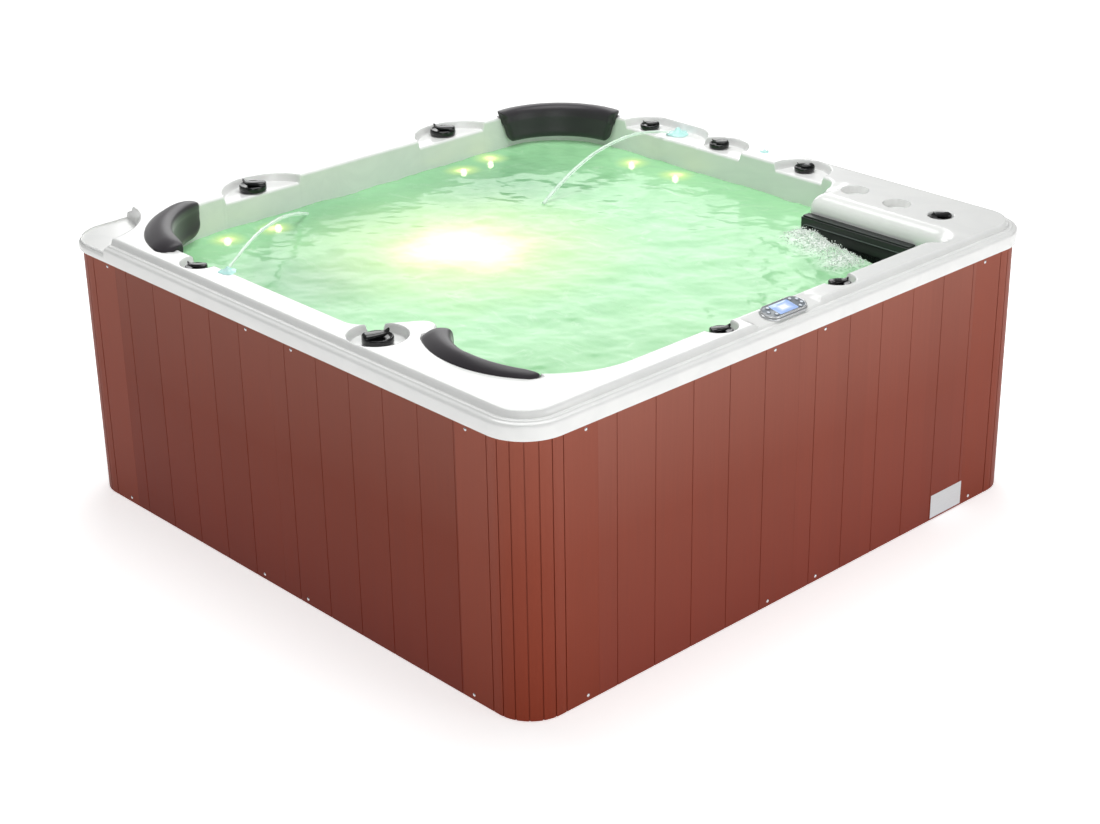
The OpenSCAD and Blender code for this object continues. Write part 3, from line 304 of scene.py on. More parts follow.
def deckHeight(p):
    x, y = p[:, 0], p[:, 1]
    inset = -rectDistance(p, (halfWide, halfDeep), plan["rimRadius"])
    insets, heights = np.array(rimShape).T
    z = plan["bead"] + np.interp(inset, insets, heights)
    # lowered pad with its rounded outer edge
    roll = plan["padEdge"]
    edge = np.clip(roll - inset, 0, roll)
    pad = plan["deck"] - plan["padDrop"] - (roll - np.sqrt(np.maximum(roll ** 2 - edge ** 2, 0)))
    z = sinkTo(z, pad, np.hypot(x + halfWide, y - halfDeep) - plan["padRadius"], 2 * roll, 0.5, rise=90)
    # sloping place for the control panel
    slope = plan["bead"] + (y + halfDeep) * notch["rise"]
    endX, endY = np.array(notch["rightEnd"]).T
    leftEnd = notch["middle"] - notch["width"] / 2 - notch["leftGap"]
    outside = np.maximum(x - np.interp(y, endY, endX), leftEnd - x)
    z = sinkTo(z, slope, outside, notch["wall"], 0.4, rise=60, blend=4)
    floor, wall = plan["pocket"], plan["pocketWall"]
    for middle, radius in pockets:
        z = sinkTo(z, floor, np.hypot(x - middle[0], y - middle[1]) - radius, wall)
    outside = rectDistance(p, longPocket["half"], longPocket["corner"], longPocket["middle"])
    z = sinkTo(z, floor, outside, wall)
    along, across = turnedTo(p, channel["from"], channel["turn"])
    outside = np.maximum(np.abs(across) - channel["half"], np.maximum(-along, along - channel["length"]))
    z = sinkTo(z, floor, outside, wall)
    for ledge in ledges.values():
        z = sinkTo(z, floor, ledgeDistance(p, ledge), ledgeGap["wall"], blend=4)
    for middle in cups:
        outside = np.hypot(x - middle[0], y - middle[1]) - cupShape["radius"]
        z = sinkTo(z, plan["deck"] - cupShape["drop"], outside, cupShape["wall"], 0.7, rise=60, blend=4)
    return z


# Roll above the skimmer: where it starts, and how far it runs and fades on the shelf and round its end
rollForm = {"from": 640, "past": 10, "fadeY": 40, "fadeX": 60, "endRun": 130, "endFade": 70, "endHalf": 60,
            "endSide": 30}


def edgeRadius(p):
    # the deck's inner edge grows into the roll
    x, y = p[:, 0], p[:, 1]
    wall, end, start = plan["shelfWall"], plan["shelfEnd"], rollForm["from"]
    onShelf = ease((end + rollForm["past"] - y) / rollForm["fadeY"]) * ease((x - start) / rollForm["fadeX"])
    atEnd = ease((wall + rollForm["endRun"] - x) / rollForm["endFade"])
    atEnd = atEnd * ease((rollForm["endHalf"] - np.abs(y - end)) / rollForm["endSide"]) * (x > start)
    return plan["deckEdge"] + (plan["shelfEdge"] - plan["deckEdge"]) * np.maximum(onShelf, atEnd)


# Seats: heights, lean of their backs, and where each one ends
seats = {
    "bench": 460, "corner": 430, "head": 400, "cornerLean": 70, "headLean": 150, "ledge": 12,
    "benchBack": (100, 300 / 70),     # width and slope of the benches' backs
    "steep": 8.0, "blend": 14, "backEnd": 340, "rightEnd": 410, "leftEnd": -360, "leftFront": -215,
    "lounge": ((0, 400), (370, 385), (610, 500), (900, 410), (1120, 400), (1200, 760)),
    "loungeEnd": -330, "loungeFront": -909,
    "apronDrop": 320, "apronStart": 560, "apronEnd": -350, "apronFront": -889,
}


def bench(toBack):
    width, slope = seats["benchBack"]
    return seats["bench"] + np.maximum(0, toBack + width) * slope


def pastEnds(*ends):
    # steep sides where a seat ends
    return seats["steep"] * np.maximum(0, np.maximum.reduce(ends))


def roundSeat(p, middle, radius, height, lean):
    # its back leans out up to the shoulder
    out = np.hypot(p[:, 0] - middle[0], p[:, 1] - middle[1]) - (radius - lean - seats["ledge"])
    return height + np.maximum(out, 0) * (plan["shoulder"] - height) / lean


def basinHeight(p):
    x, y = p[:, 0], p[:, 1]
    back, right = y - halfDeep + plan["deckBack"], x - halfWide + plan["deckRight"]
    left = -x - halfWide + plan["deckLeft"]
    loungeX, loungeZ = np.array(seats["lounge"]).T
    nookEnd = plan["shelfEnd"] + plan["nookRadius"]
    toWell = rectDistance(p, wellHalf, footwell["radius"], wellMiddle)
    floors = [
        bench(back) + pastEnds(x - backRight[0], backLeft[0] - x, seats["backEnd"] - y),
        bench(right) + pastEnds(y - backRight[1], nookEnd - y, seats["rightEnd"] - x),
        bench(left) + pastEnds(y - backLeft[1], seats["leftFront"] - y, x - seats["leftEnd"]),
        np.interp(x, podMiddle[0] + loungeX, loungeZ) + pastEnds(
            y - seats["loungeEnd"], seats["loungeFront"] - y, podMiddle[0] - x),
        plan["deck"] - seats["apronDrop"] + pastEnds(
            seats["apronStart"] - x, y - seats["apronEnd"], seats["apronFront"] - y),
        roundSeat(p, backRight, backRightRadius, seats["corner"], seats["cornerLean"]),
        roundSeat(p, backLeft, backLeftRadius, seats["corner"], seats["cornerLean"]),
        roundSeat(p, podMiddle, podRadius, seats["head"], seats["headLean"]),
        footwell["floor"] + footwell["steep"] * np.maximum(0, toWell),
    ]
    z = np.full(len(p), plan["shoulder"])
    for floor in floors:
        z = softMin(z, floor, seats["blend"])
    return z


def shellHeight(p):
    toEdge = lineDistance(p, basinEdge(0, 5.0))
    radius = edgeRadius(p)
    t = np.clip(radius - np.maximum(toEdge, 0), 0, radius)
    deck = deckHeight(p) - (radius - np.sqrt(radius ** 2 - t ** 2))
    roll = plan["shoulderEdge"]
    t = np.clip(roll - (-toEdge - plan["draft"]), 0, roll)
    inner = basinHeight(p) + roll - np.sqrt(roll ** 2 - t ** 2)
    return np.where(toEdge > -plan["draft"] / 2, deck, inner)


# Rows of points that the shell's mesh is built on, in millimetres outwards from each line
meshRows = {
    "edge": (-14, -9.5, -6, -3.5, -2.2, -1.5, 0, 0.3, 1.1, 2.5, 4.4, 6.6, 9, 12),
    "shelf": (17, 23, 31, 40, 50, 57),
    "pocket": (-16, -12, -8.5, -6, -3.5, -1, 2, 5),
    "cup": (-9, -6, -4.5, -3, -1.5, 0, 2, 5),
    "pad": (-14, -9, -6, -3, 0, 3, 6, 9, 14),
    "ledge": (-6, -4, -2, 0, 2, 4),
    "footwell": (-8, 0, 8, 18, 27),
    # spacing of the points between the rows, and how far they stay from the basin's edge and the rim
    "deckGrid": 9, "deckClear": 8, "rimClear": 22, "basinGrid": 13, "basinClear": 16,
}


def circle(middle, radius, step):
    return arcPoints(middle, radius, 0, 360, step)[:-1]


def shellLines():
    # lines, each with True where it is closed
    wall, end = plan["shelfWall"], plan["shelfEnd"]
    lines = []
    for inset, _ in rimShape:
        half = (halfWide - inset, halfDeep - inset)
        lines.append((roundRect(half, plan["rimRadius"] - inset), True))
    lines += [(basinEdge(grow), True) for grow in meshRows["edge"]]
    # the straight part of the edge over the skimmer
    edge = basinEdge(0, 4.0)
    x, y = edge.T
    edge = edge[(x > wall - 12) & (x < wall + 1) & (y > -900) & (y < end - 50)]
    lines += [(edge + np.array([grow, 0]), False) for grow in meshRows["shelf"]]
    for middle, radius in pockets:
        lines += [(circle(middle, radius + step, 7), True) for step in meshRows["pocket"]]
    for middle in cups:
        lines += [(circle(middle, cupShape["radius"] + step, 5), True) for step in meshRows["cup"]]
    lines += [(arcPoints((-halfWide, halfDeep), plan["padRadius"] + step, 270, 360, 7), False)
              for step in meshRows["pad"]]
    for middle, _, outer, turn, half, _ in ledges.values():
        reach = half + ledgeGap["angle"]
        lines += [(arcPoints(middle, outer + ledgeGap["side"] + step, turn - reach, turn + reach, 7), False)
                  for step in meshRows["ledge"]]
    lines += [(roundRect(wellHalf + step, footwell["radius"] + step, wellMiddle, 10), True)
              for step in meshRows["footwell"]]
    return lines


def gridPoints(spacing, margin):
    # a margin of less than one step is only kept at the near sides
    far = margin if margin > spacing else 0
    gx, gy = np.meshgrid(*(np.arange(-half + margin, half - far, spacing) for half in (halfWide, halfDeep)))
    return np.stack([gx.ravel(), gy.ravel()], 1)


def onRim(vert):
    spot = np.array([[vert.co.x / mm, vert.co.y / mm]])
    return -rectDistance(spot, (halfWide, halfDeep), plan["rimRadius"])[0] < 0.2


def makeShell(material):
    points, edges = [], []
    for line, closed in shellLines():
        start = sum(len(q) for q in points)
        points.append(line)
        count = len(line)
        edges.extend((start + i, start + (i + 1) % count) for i in range(count if closed else count - 1))
    for spacing in (meshRows["deckGrid"], meshRows["basinGrid"]):
        cloud = gridPoints(spacing, 5)
        inset = -rectDistance(cloud, (halfWide, halfDeep), plan["rimRadius"])
        toEdge = lineDistance(cloud, basinEdge(0, 30.0))
        onDeck = (toEdge > meshRows["deckClear"]) & (inset > meshRows["rimClear"])
        inBasin = toEdge < -meshRows["basinClear"]
        points.append(cloud[onDeck if spacing == meshRows["deckGrid"] else inBasin])
    made = geometry.delaunay_2d_cdt([Vector(q) for q in np.concatenate(points)], edges, [], 0, 1e-3)
    flat = np.array([tuple(v) for v in made[0]])
    mesh = bpy.data.meshes.new("shell_skin")
    verts = np.column_stack([flat, shellHeight(flat)]) * mm
    mesh.from_pydata(verts.tolist(), [], [tuple(f) for f in made[2]])
    work = bmesh.new()
    work.from_mesh(mesh)
    cutMouth(work)
    # the rim's outer face and the turned-in lower lip
    rimEdges = [e for e in work.edges if e.is_boundary and all(onRim(v) for v in e.verts)]
    for inset, height in lipShape:
        grown = bmesh.ops.extrude_edge_only(work, edges=rimEdges)["geom"]
        for v in (g for g in grown if isinstance(g, bmesh.types.BMVert)):
            v.co = rimPoint(v.co, inset * mm, (plan["lip"] + height) * mm)
        rimEdges = [g for g in grown if isinstance(g, bmesh.types.BMEdge)]
    bmesh.ops.recalc_face_normals(work, faces=work.faces)
    work.to_mesh(mesh)
    work.free()
    mesh.materials.append(material)
    mesh.shade_smooth()
    shell = addObject("shell_skin", mesh)
    # long wall faces keep their own direction beside the small faces of the edges
    even = shell.modifiers.new("evenNormals", "WEIGHTED_NORMAL")
    even.mode = "FACE_AREA"
    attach(shell, "tub")
    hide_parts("shell")
    return shell


def rimPoint(co, inset, height):
    # the place on the rim's outline, drawn in by an inset
    half = (halfWide * mm, halfDeep * mm)
    radius = plan["rimRadius"] * mm
    q = Vector((abs(co.x) - (half[0] - radius), abs(co.y) - (half[1] - radius)))
    corner = Vector((max(q.x, 0), max(q.y, 0)))
    if corner.length > 1e-6:
        corner = corner.normalized() * (radius - inset)
        x = half[0] - radius + corner.x if q.x > 0 else abs(co.x)
        y = half[1] - radius + corner.y if q.y > 0 else abs(co.y)
        return Vector((math.copysign(x, co.x), math.copysign(y, co.y), height))
    return Vector((co.x, co.y, height))


# Mouth that is cut into the wall under the shelf, in from the skimmer's frame
mouthShape = {"side": 33, "low": 12, "high": 24, "deep": 9.2, "cutBelow": 815}
# metres within which a place counts as on the wall
wallReach = {"face": 0.0012, "top": 0.0005, "foot": 0.002}


def cutMouth(work):
    low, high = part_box("skimmer_frame")
    wall = plan["shelfWall"] * mm
    y0, y1 = low.y + mouthShape["side"] * mm, high.y - mouthShape["side"] * mm
    z0, z1 = low.z + mouthShape["low"] * mm, high.z - mouthShape["high"] * mm
    inner = wall + mouthShape["deep"] * mm
    work.faces.ensure_lookup_table()
    gone = []
    for face in work.faces:
        at = face.calc_center_median()
        if abs(at.x - wall) < wallReach["face"] and at.z < mouthShape["cutBelow"] * mm and y0 < at.y < y1:
            gone.append(face)
    bmesh.ops.delete(work, geom=gone, context="FACES")
    inside = [v.co for v in work.verts if y0 < v.co.y < y1]
    top = max(co.z for co in inside if abs(co.x - wall) < wallReach["top"])
    foot = min(co.z for co in inside if abs(co.x - wall) < wallReach["foot"])

    def quad(*corners):
        work.faces.new([work.verts.new(c) for c in corners])

    quad((wall, y0, z1), (wall, y1, z1), (wall, y1, top), (wall, y0, top))
    quad((wall, y0, foot), (wall, y1, foot), (wall, y1, z0), (wall, y0, z0))
    for z in (z0, z1):
        quad((wall, y0, z), (wall, y1, z), (inner, y1, z), (inner, y0, z))
    for y in (y0, y1):
        quad((wall, y, z0), (wall, y, z1), (inner, y, z1), (inner, y, z0))


# Cast acrylic, vacuum-formed and glossy, white with faint grey marbling
def makeAcrylic():
    look = {"white": "#F4F5F3", "vein": "#CFD2D3", "veinWidth": 260, "speckle": 3.0}
    material, tree = startMaterial("castAcrylic")
    place = addNode(tree, "TexCoord").outputs["Object"]
    stretch = addNode(tree, "Mapping", {"Scale": (1, 0.55, 1), "Rotation": (0, 0, 0.5)}, {"Vector": place})
    cloud = addNode(tree, "TexNoise", {"Scale": 1000 / look["veinWidth"], "Detail": 5.0, "Roughness": 0.55,
                                                 "Distortion": 1.3}, {"Vector": stretch})
    vein = addNode(tree, "ValToRGB", None, {0: cloud})
    setStops(vein, [(0.40, (0, 0, 0, 1)), (0.50, (1, 1, 1, 1)), (0.62, (0, 0, 0, 1))])
    thin = addNode(tree, "Math", {"operation": "MULTIPLY", 1: 0.12}, {0: vein})
    mix = addNode(tree, "Mix", {"data_type": "RGBA", 6: srgb(look["white"]), 7: srgb(look["vein"])},
                  {0: thin})
    fine = addNode(tree, "TexNoise", {"Scale": 1000 / look["speckle"], "Detail": 2.0}, {"Vector": place})
    rough = addNode(tree, "MapRange", {3: 0.16, 4: 0.24}, {0: fine})
    return endMaterial(material, {"IOR": 1.49, "Coat Weight": 0.25, "Coat Roughness": 0.08},
                       {"Base Color": mix.outputs[2], "Roughness": rough})


acrylic = makeAcrylic()
shell = makeShell(acrylic)
print("shell formed,", len(shell.data.vertices), "points")


# Small mesh shapes, in millimetres
def lathe(profile, count=64):
    verts, faces, rows = [], [], []
    for radius, height in profile:
        if radius < 1e-6:
            rows.append([len(verts)])
            verts.append((0, 0, height))
            continue
        rows.append(list(range(len(verts), len(verts) + count)))
        for i in range(count):
            turn = 2 * math.pi * i / count
            verts.append((radius * math.cos(turn), radius * math.sin(turn), height))
    for a, b in zip(rows[:-1], rows[1:]):
        for i in range(count):
            j = (i + 1) % count
            if len(a) == 1:
                faces.append((a[0], b[i], b[j]))
            elif len(b) == 1:
                faces.append((a[i], b[0], a[j]))
            else:
                faces.append((a[i], b[i], b[j], a[j]))
    return verts, faces


def loft(rings, capped=True):
    count = len(rings[0])
    verts = [tuple(p) for ring in rings for p in ring]
    faces = []
    for i in range(len(rings) - 1):
        for j in range(count):
            k = (j + 1) % count
            faces.append((i * count + j, i * count + k, (i + 1) * count + k, (i + 1) * count + j))
    if capped:
        faces.append(tuple(range(count)))
        faces.append(tuple(range(len(verts) - count, len(verts))))
    return verts, faces


def slabRings(outlineAt, levels):
    return [[(x, y, z) for x, y in outlineAt(inset)] for inset, z in levels]


def stadium(length, width, inset, count=24):
    radius = width / 2 - inset
    run = (length - width) / 2
    points = []
    for side, start in ((1, -90), (-1, 90)):
        for i in range(count + 1):
            turn = math.radians(start + 180 * i / count)
            points.append((side * run + radius * math.cos(turn), radius * math.sin(turn)))
    return points


def smoothRing(points, rounds=2):
    ring = np.array(points, float)
    for _ in range(rounds):
        after = np.roll(ring, -1, 0)
        pairs = np.stack([0.75 * ring + 0.25 * after, 0.25 * ring + 0.75 * after], 1)
        ring = pairs.reshape(-1, ring.shape[1])
    return ring


def buildPiece(name, parts, materials, body="tub", place=None, stands=()):
    # parts are (verts, faces, material number), with verts in millimetres
    verts, faces, numbers = [], [], []
    for partVerts, partFaces, number in parts:
        start = len(verts)
        verts += partVerts
        faces += [tuple(start + i for i in f) for f in partFaces]
        numbers += [number] * len(partFaces)
    place = place or Matrix.Identity(4)
    mesh = bpy.data.meshes.new(name)
    mesh.from_pydata([tuple(place @ (Vector(v) * mm)) for v in verts], [], faces)
    for material in materials:
        mesh.materials.append(material)
    mesh.polygons.foreach_set("material_index", numbers)
    work = bmesh.new()
    work.from_mesh(mesh)
    bmesh.ops.recalc_face_normals(work, faces=work.faces)
    work.to_mesh(mesh)
    work.free()
    mesh.shade_smooth()
    mesh.set_sharp_from_angle(angle=math.radians(38))
    piece = addObject(name, mesh)
    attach(piece, body)
    if stands:
        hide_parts(*stands)
    return piece


# Finishes: each starts from the real material and how its surface was made
finishes = {
    # Stainless steel, cold-headed: bright, with faint scuffs
    "screw": {"colours": ("#C9CBCD", "#E6E7E8"), "grain": 2, "rough": (0.16, 0.3), "metal": 1.0,
              "bump": 0.02},
    # ABS, injection moulded in satin grey: even, slightly dull
    "fitting": {"colours": ("#86888A", "#919395"), "grain": 1.5, "rough": (0.38, 0.5), "bump": 0.05},
    # ABS, gloss moulded and pigmented black: mirror-like with a faint ripple
    "knob": {"colours": ("#0E0F10", "#151617"), "grain": 18, "rough": (0.1, 0.18), "bump": 0.05},
    # Chrome-plated ABS: silver ring with soft reflections
    "ring": {"colours": ("#BFC2C4", "#D8DADB"), "grain": 6, "rough": (0.2, 0.3), "metal": 0.7,
             "bump": 0.02},
    # Smoked polycarbonate, moulded: dark grey face of the control panel
    "face": {"colours": ("#7E858C", "#92999F"), "grain": 5, "rough": (0.14, 0.2), "bump": 0.02},
    # Silicone rubber, moulded, lit from behind: pale and soft
    "key": {"colours": ("#CFD8E2", "#E6ECF3"), "grain": 2, "rough": (0.35, 0.5), "bump": 0.04, "glow": 0.1},
    # ABS, moulded in satin black: the skimmer
    "skimmer": {"colours": ("#141917", "#1D2321"), "grain": 3, "rough": (0.3, 0.45), "bump": 0.08},
    # ABS, the same moulding with a painted highlight along its rounded lip: greyer and shinier
    "edge": {"colours": ("#5C6461", "#78807D"), "grain": 3, "rough": (0.2, 0.3), "bump": 0.05},
    # Water beaten to froth: white, wet
    "froth": {"colours": ("#E4EFE5", "#FFFFFF"), "grain": 4, "rough": (0.15, 0.3), "bump": 0.1},
    # Polyester, pleated: off-white cloth
    "filter": {"colours": ("#DAD9D2", "#ECEBE6"), "grain": 1.2, "rough": (0.8, 0.95), "bump": 0.25},
    # Brass, turned and chrome plated: mirror bright
    "nozzle": {"colours": ("#BFC3C5", "#DADCDD"), "grain": 4, "rough": (0.06, 0.14), "metal": 1.0,
               "bump": 0.01},
    # ABS, moulded in dark grey, with a bright ring: the jets
    "jet": {"colours": ("#3C4244", "#4B5254"), "grain": 3, "rough": (0.2, 0.32), "bump": 0.04},
    # PVC, extruded: white pipe with a low gloss
    "pvc": {"colours": ("#DAD9D4", "#E8E7E3"), "grain": 8, "rough": (0.28, 0.4), "bump": 0.05},
    # Aluminium, cast and painted dark: fine orange peel
    "pump": {"colours": ("#242B2F", "#30383C"), "grain": 1.6, "rough": (0.35, 0.5), "bump": 0.3},
    # Steel, turned: fine rings along the shaft
    "rotor": {"colours": ("#8E9193", "#A7AAAC"), "grain": 0.8, "stretch": (8, 1, 1), "rough": (0.25, 0.4),
              "metal": 1.0, "bump": 0.05},
    # Stainless steel, brushed along the tube
    "heater": {"colours": ("#9EA1A3", "#BDC0C2"), "grain": 0.8, "stretch": (0.05, 1, 1),
               "rough": (0.22, 0.38), "metal": 1.0, "bump": 0.05},
    # ABS, moulded with a light texture: the box of the controls
    "box": {"colours": ("#55585B", "#606366"), "grain": 1.2, "rough": (0.5, 0.65), "bump": 0.2},
    # Aluminium, rolled and brushed: the bare plate
    "plate": {"colours": ("#C3C6C8", "#DADCDE"), "grain": 0.9, "stretch": (0.04, 0.04, 1),
              "rough": (0.3, 0.45), "metal": 0.6, "bump": 0.03},
    # Polyethylene, vacuum-formed: matte black tray
    "tray": {"colours": ("#1C1D1F", "#28292B"), "grain": 2, "rough": (0.55, 0.7), "bump": 0.2},
    # Spruce, sawn and treated: pale yellow, with grain drawn 6 mm wide
    "timber": {"colours": ("#A98C62", "#C9AE84"), "grain": 6, "stretch": (1, 0.2, 1), "rough": (0.65, 0.85),
               "bump": 0.3},
}


def makeFinish(name):
    look = finishes[name]
    material, tree = startMaterial(name)
    place = addNode(tree, "TexCoord").outputs["Object"]
    stretch = addNode(tree, "Mapping", {"Scale": look.get("stretch", (1, 1, 1))}, {"Vector": place})
    grain = addNode(tree, "TexNoise", {"Scale": 1000 / look["grain"], "Detail": 3.0}, {"Vector": stretch})
    dark, light = look["colours"]
    mix = addNode(tree, "Mix", {"data_type": "RGBA", 6: srgb(dark), 7: srgb(light)}, {0: grain})
    rough = addNode(tree, "MapRange", {3: look["rough"][0], 4: look["rough"][1]}, {0: grain})
    bump = addNode(tree, "Bump", {"Strength": look["bump"], "Distance": look["grain"] * 0.3 * mm},
                   {"Height": grain})
    values = {"Metallic": look.get("metal", 0.0)}
    if look.get("glow"):
        values.update({"Emission Color": srgb(light), "Emission Strength": look["glow"]})
    return endMaterial(material, values, {"Base Color": mix.outputs[2], "Roughness": rough, "Normal": bump})


# Polystyrene wood board, extruded and embossed: red-brown, with a faint grain along each board, and painted
# light that makes it lighter towards the top
def makeBoard(name):
    look = boardLooks[name]
    material, tree = startMaterial(name)
    place = addNode(tree, "TexCoord").outputs["Object"]
    parts = addNode(tree, "SeparateXYZ", None, {0: place})
    along = parts.outputs[look["axis"]]
    start = addNode(tree, "Math", {"operation": "SUBTRACT", 1: look["start"] * mm}, {0: along})
    count = addNode(tree, "Math", {"operation": "DIVIDE", 1: look["width"] * mm}, {0: start})
    board = addNode(tree, "Math", {"operation": "FLOOR"}, {0: count})
    shade = addNode(tree, "TexWhiteNoise", {"noise_dimensions": "1D"}, {"W": board})
    sway = addNode(tree, "Mapping", {"Scale": (1, 1, 0.03)}, {"Vector": place})
    grain = addNode(tree, "TexNoise", {"Scale": 1000 / look["grain"], "Detail": 4.0, "Roughness": 0.6},
                    {"Vector": sway})
    # painted light: the colour runs from darker at the foot to lighter at the top
    fade = addNode(tree, "MapRange", {1: 0.0, 2: 0.82}, {0: parts.outputs[2]})
    height = addNode(tree, "ValToRGB", None, {0: fade})
    setStops(height, [(0.0, srgb(look["foot"])), (0.55, srgb(look["middle"])), (1.0, srgb(look["top"]))])
    tone = addNode(tree, "MapRange", {3: 0.975, 4: 1.025}, {0: shade})
    fine = addNode(tree, "MapRange", {3: 0.92, 4: 1.08}, {0: grain})
    both = addNode(tree, "Math", {"operation": "MULTIPLY"}, {0: tone, 1: fine})
    tint = addNode(tree, "HueSaturation", None, {"Color": height, "Value": both})
    rough = addNode(tree, "MapRange", {3: 0.42, 4: 0.56}, {0: grain})
    bump = addNode(tree, "Bump", {"Strength": 0.12, "Distance": 0.3 * mm}, {"Height": grain})
    return endMaterial(material, {"Specular IOR Level": 0.14},
                       {"Base Color": tint, "Roughness": rough, "Normal": bump})


# painted light: the boards of the front and back are drawn lighter than those of the two sides, as in the
# photograph
boardLooks = {
    "boardsAlongX": {"axis": 0, "width": 141, "start": 9, "grain": 7, "top": "#995A4B", "middle": "#87402F",
                     "foot": "#7F3323"},
    "boardsAlongY": {"axis": 1, "width": 141, "start": 9, "grain": 7, "top": "#8C4E3F", "middle": "#7C331F",
                     "foot": "#742817"},
    "slats": {"axis": 0, "width": 37, "start": 0, "grain": 5, "top": "#985342", "middle": "#8B402D",
              "foot": "#80311B"},
}


# Lit glass of the display: blue, with a pale block of light in the middle
def makeDisplayGlass():
    look = {"edge": "#9DB6E4", "middle": "#C4D3F2", "block": (27, 17)}
    material, tree = startMaterial("displayGlass")
    place = addNode(tree, "TexCoord").outputs["Object"]
    centre = displayMiddle()
    parts = addNode(tree, "SeparateXYZ", None, {0: place})
    reach = []
    for axis, half in zip((0, 1), look["block"]):
        shift = addNode(tree, "Math", {"operation": "SUBTRACT", 1: centre[axis]}, {0: parts.outputs[axis]})
        size = addNode(tree, "Math", {"operation": "ABSOLUTE"}, {0: shift})
        reach.append(addNode(tree, "Math", {"operation": "DIVIDE", 1: half * mm}, {0: size}).outputs[0])
    far = addNode(tree, "Math", {"operation": "MAXIMUM"}, {0: reach[0], 1: reach[1]})
    glow = addNode(tree, "ValToRGB", None, {0: far})
    setStops(glow, [(0.0, srgb("#FFFFFF")), (0.30, srgb("#F4F8FF")),
                    (0.60, srgb(look["middle"])), (1.0, srgb(look["edge"]))])
    return endMaterial(material, {"Emission Strength": 0.35, "Roughness": 0.08},
                       {"Base Color": glow, "Emission Color": glow})


# Polyurethane foam, moulded with a skin: dark grey, fine leather pebble, soft sheen
def makeFoamSkin():
    look = {"dark": "#2E2A2F", "light": "#373338", "pebble": 2.2}
    material, tree = startMaterial("foamSkin")
    place = addNode(tree, "TexCoord").outputs["Object"]
    pebble = addNode(tree, "TexVoronoi", {"Scale": 1000 / look["pebble"]}, {"Vector": place})
    cloud = addNode(tree, "TexNoise", {"Scale": 14.0, "Detail": 3.0}, {"Vector": place})
    mix = addNode(tree, "Mix", {"data_type": "RGBA", 6: srgb(look["dark"]), 7: srgb(look["light"])},
                  {0: cloud})
    rough = addNode(tree, "MapRange", {3: 0.36, 4: 0.44}, {0: cloud})
    bump = addNode(tree, "Bump", {"Strength": 0.18, "Distance": 0.4 * mm}, {"Height": pebble})
    return endMaterial(material, {"Specular IOR Level": 0.42, "Sheen Weight": 0.45, "Sheen Roughness": 0.4},
                       {"Base Color": mix.outputs[2], "Roughness": rough, "Normal": bump})


# Clear things with a faint cloud of tone in them
clearLooks = {
    # Polycarbonate lens, moulded clear, with the lamp's light behind it
    "warmLens": {"scale": 220.0, "detail": 2.0, "colours": ("#F4FF9E", "#FFFFFF"),
                 "tinted": ("Base Color", "Emission Color"),
                 "values": {"Emission Strength": 6.0, "Roughness": 0.12}},
    # Falling water, clear with a white core and a faint painted glow
    "fallingWater": {"scale": 60.0, "detail": 3.0, "colours": ("#DDF2E4", "#FFFFFF"),
                     "tinted": ("Base Color",),
                     "values": {"Roughness": 0.06, "IOR": 1.33, "Transmission Weight": 0.55,
                                "Emission Color": srgb("#E8FFF0"), "Emission Strength": 0.12}},
    # Water at a fountain's nozzle, lit cyan from inside
    "cyanSplash": {"scale": 45.0, "detail": 3.0, "colours": ("#A9E9E1", "#DDF7F5"),
                   "tinted": ("Base Color", "Emission Color"),
                   "values": {"Emission Strength": 0.2, "Roughness": 0.15, "Alpha": 0.7}},
}


def makeClear(name):
    look = clearLooks[name]
    material, tree = startMaterial(name)
    place = addNode(tree, "TexCoord").outputs["Object"]
    cloud = addNode(tree, "TexNoise", {"Scale": look["scale"], "Detail": look["detail"]}, {"Vector": place})
    first, second = look["colours"]
    tone = addNode(tree, "Mix", {"data_type": "RGBA", 6: srgb(first), 7: srgb(second)}, {0: cloud})
    return endMaterial(material, look["values"], {socket: tone.outputs[2] for socket in look["tinted"]})


# Headrests: moulded foam that rests on the ledges
pillowShape = {"above": 49, "below": 65, "rings": 72, "gap": 0.5, "anchor": 17.5, "deck": 25}
# into is the depth into the basin, ends the share of the width at both ends, round where the rounding of
# the ends starts, thin, drop and rise how far they close, taper and flare how the sides lean. Hollow and
# roll shape the inner side, crest is where across the width the crest lies, edge the height of the outer
# side, sink how far the last end sinks, and tip where across the width both ends come together.
pillows = {
    "pillow_lounge": {
        "into": 12, "ends": (1.95, 0.6), "round": 0.80, "thin": 0.86, "drop": 0.5, "rise": 0.5,
        "taper": 0.05, "flare": 0.0, "hollow": 5, "crest": 0.6, "edge": 0.56, "roll": 1.0,
        "sink": 0.45, "tip": 0.45},
    "pillow_back_left": {
        "into": 38, "ends": (1.0, 1.0), "round": 0.70, "thin": 0.62, "drop": 0.5, "rise": 0.4,
        "taper": 0.05, "flare": 0.0, "hollow": 16, "crest": 0.56, "edge": 0.58, "roll": 1.1,
        "sink": 0.0, "tip": 1.0},
    "pillow_back_right": {
        "into": 37, "ends": (1.0, 1.0), "round": 0.93, "thin": 0.7, "drop": 0.1, "rise": 0.22,
        "taper": 0.1, "flare": 0.075, "hollow": 7, "crest": 0.22, "edge": 0.82, "roll": 1.5,
        "sink": 0.0, "tip": 1.0},
}


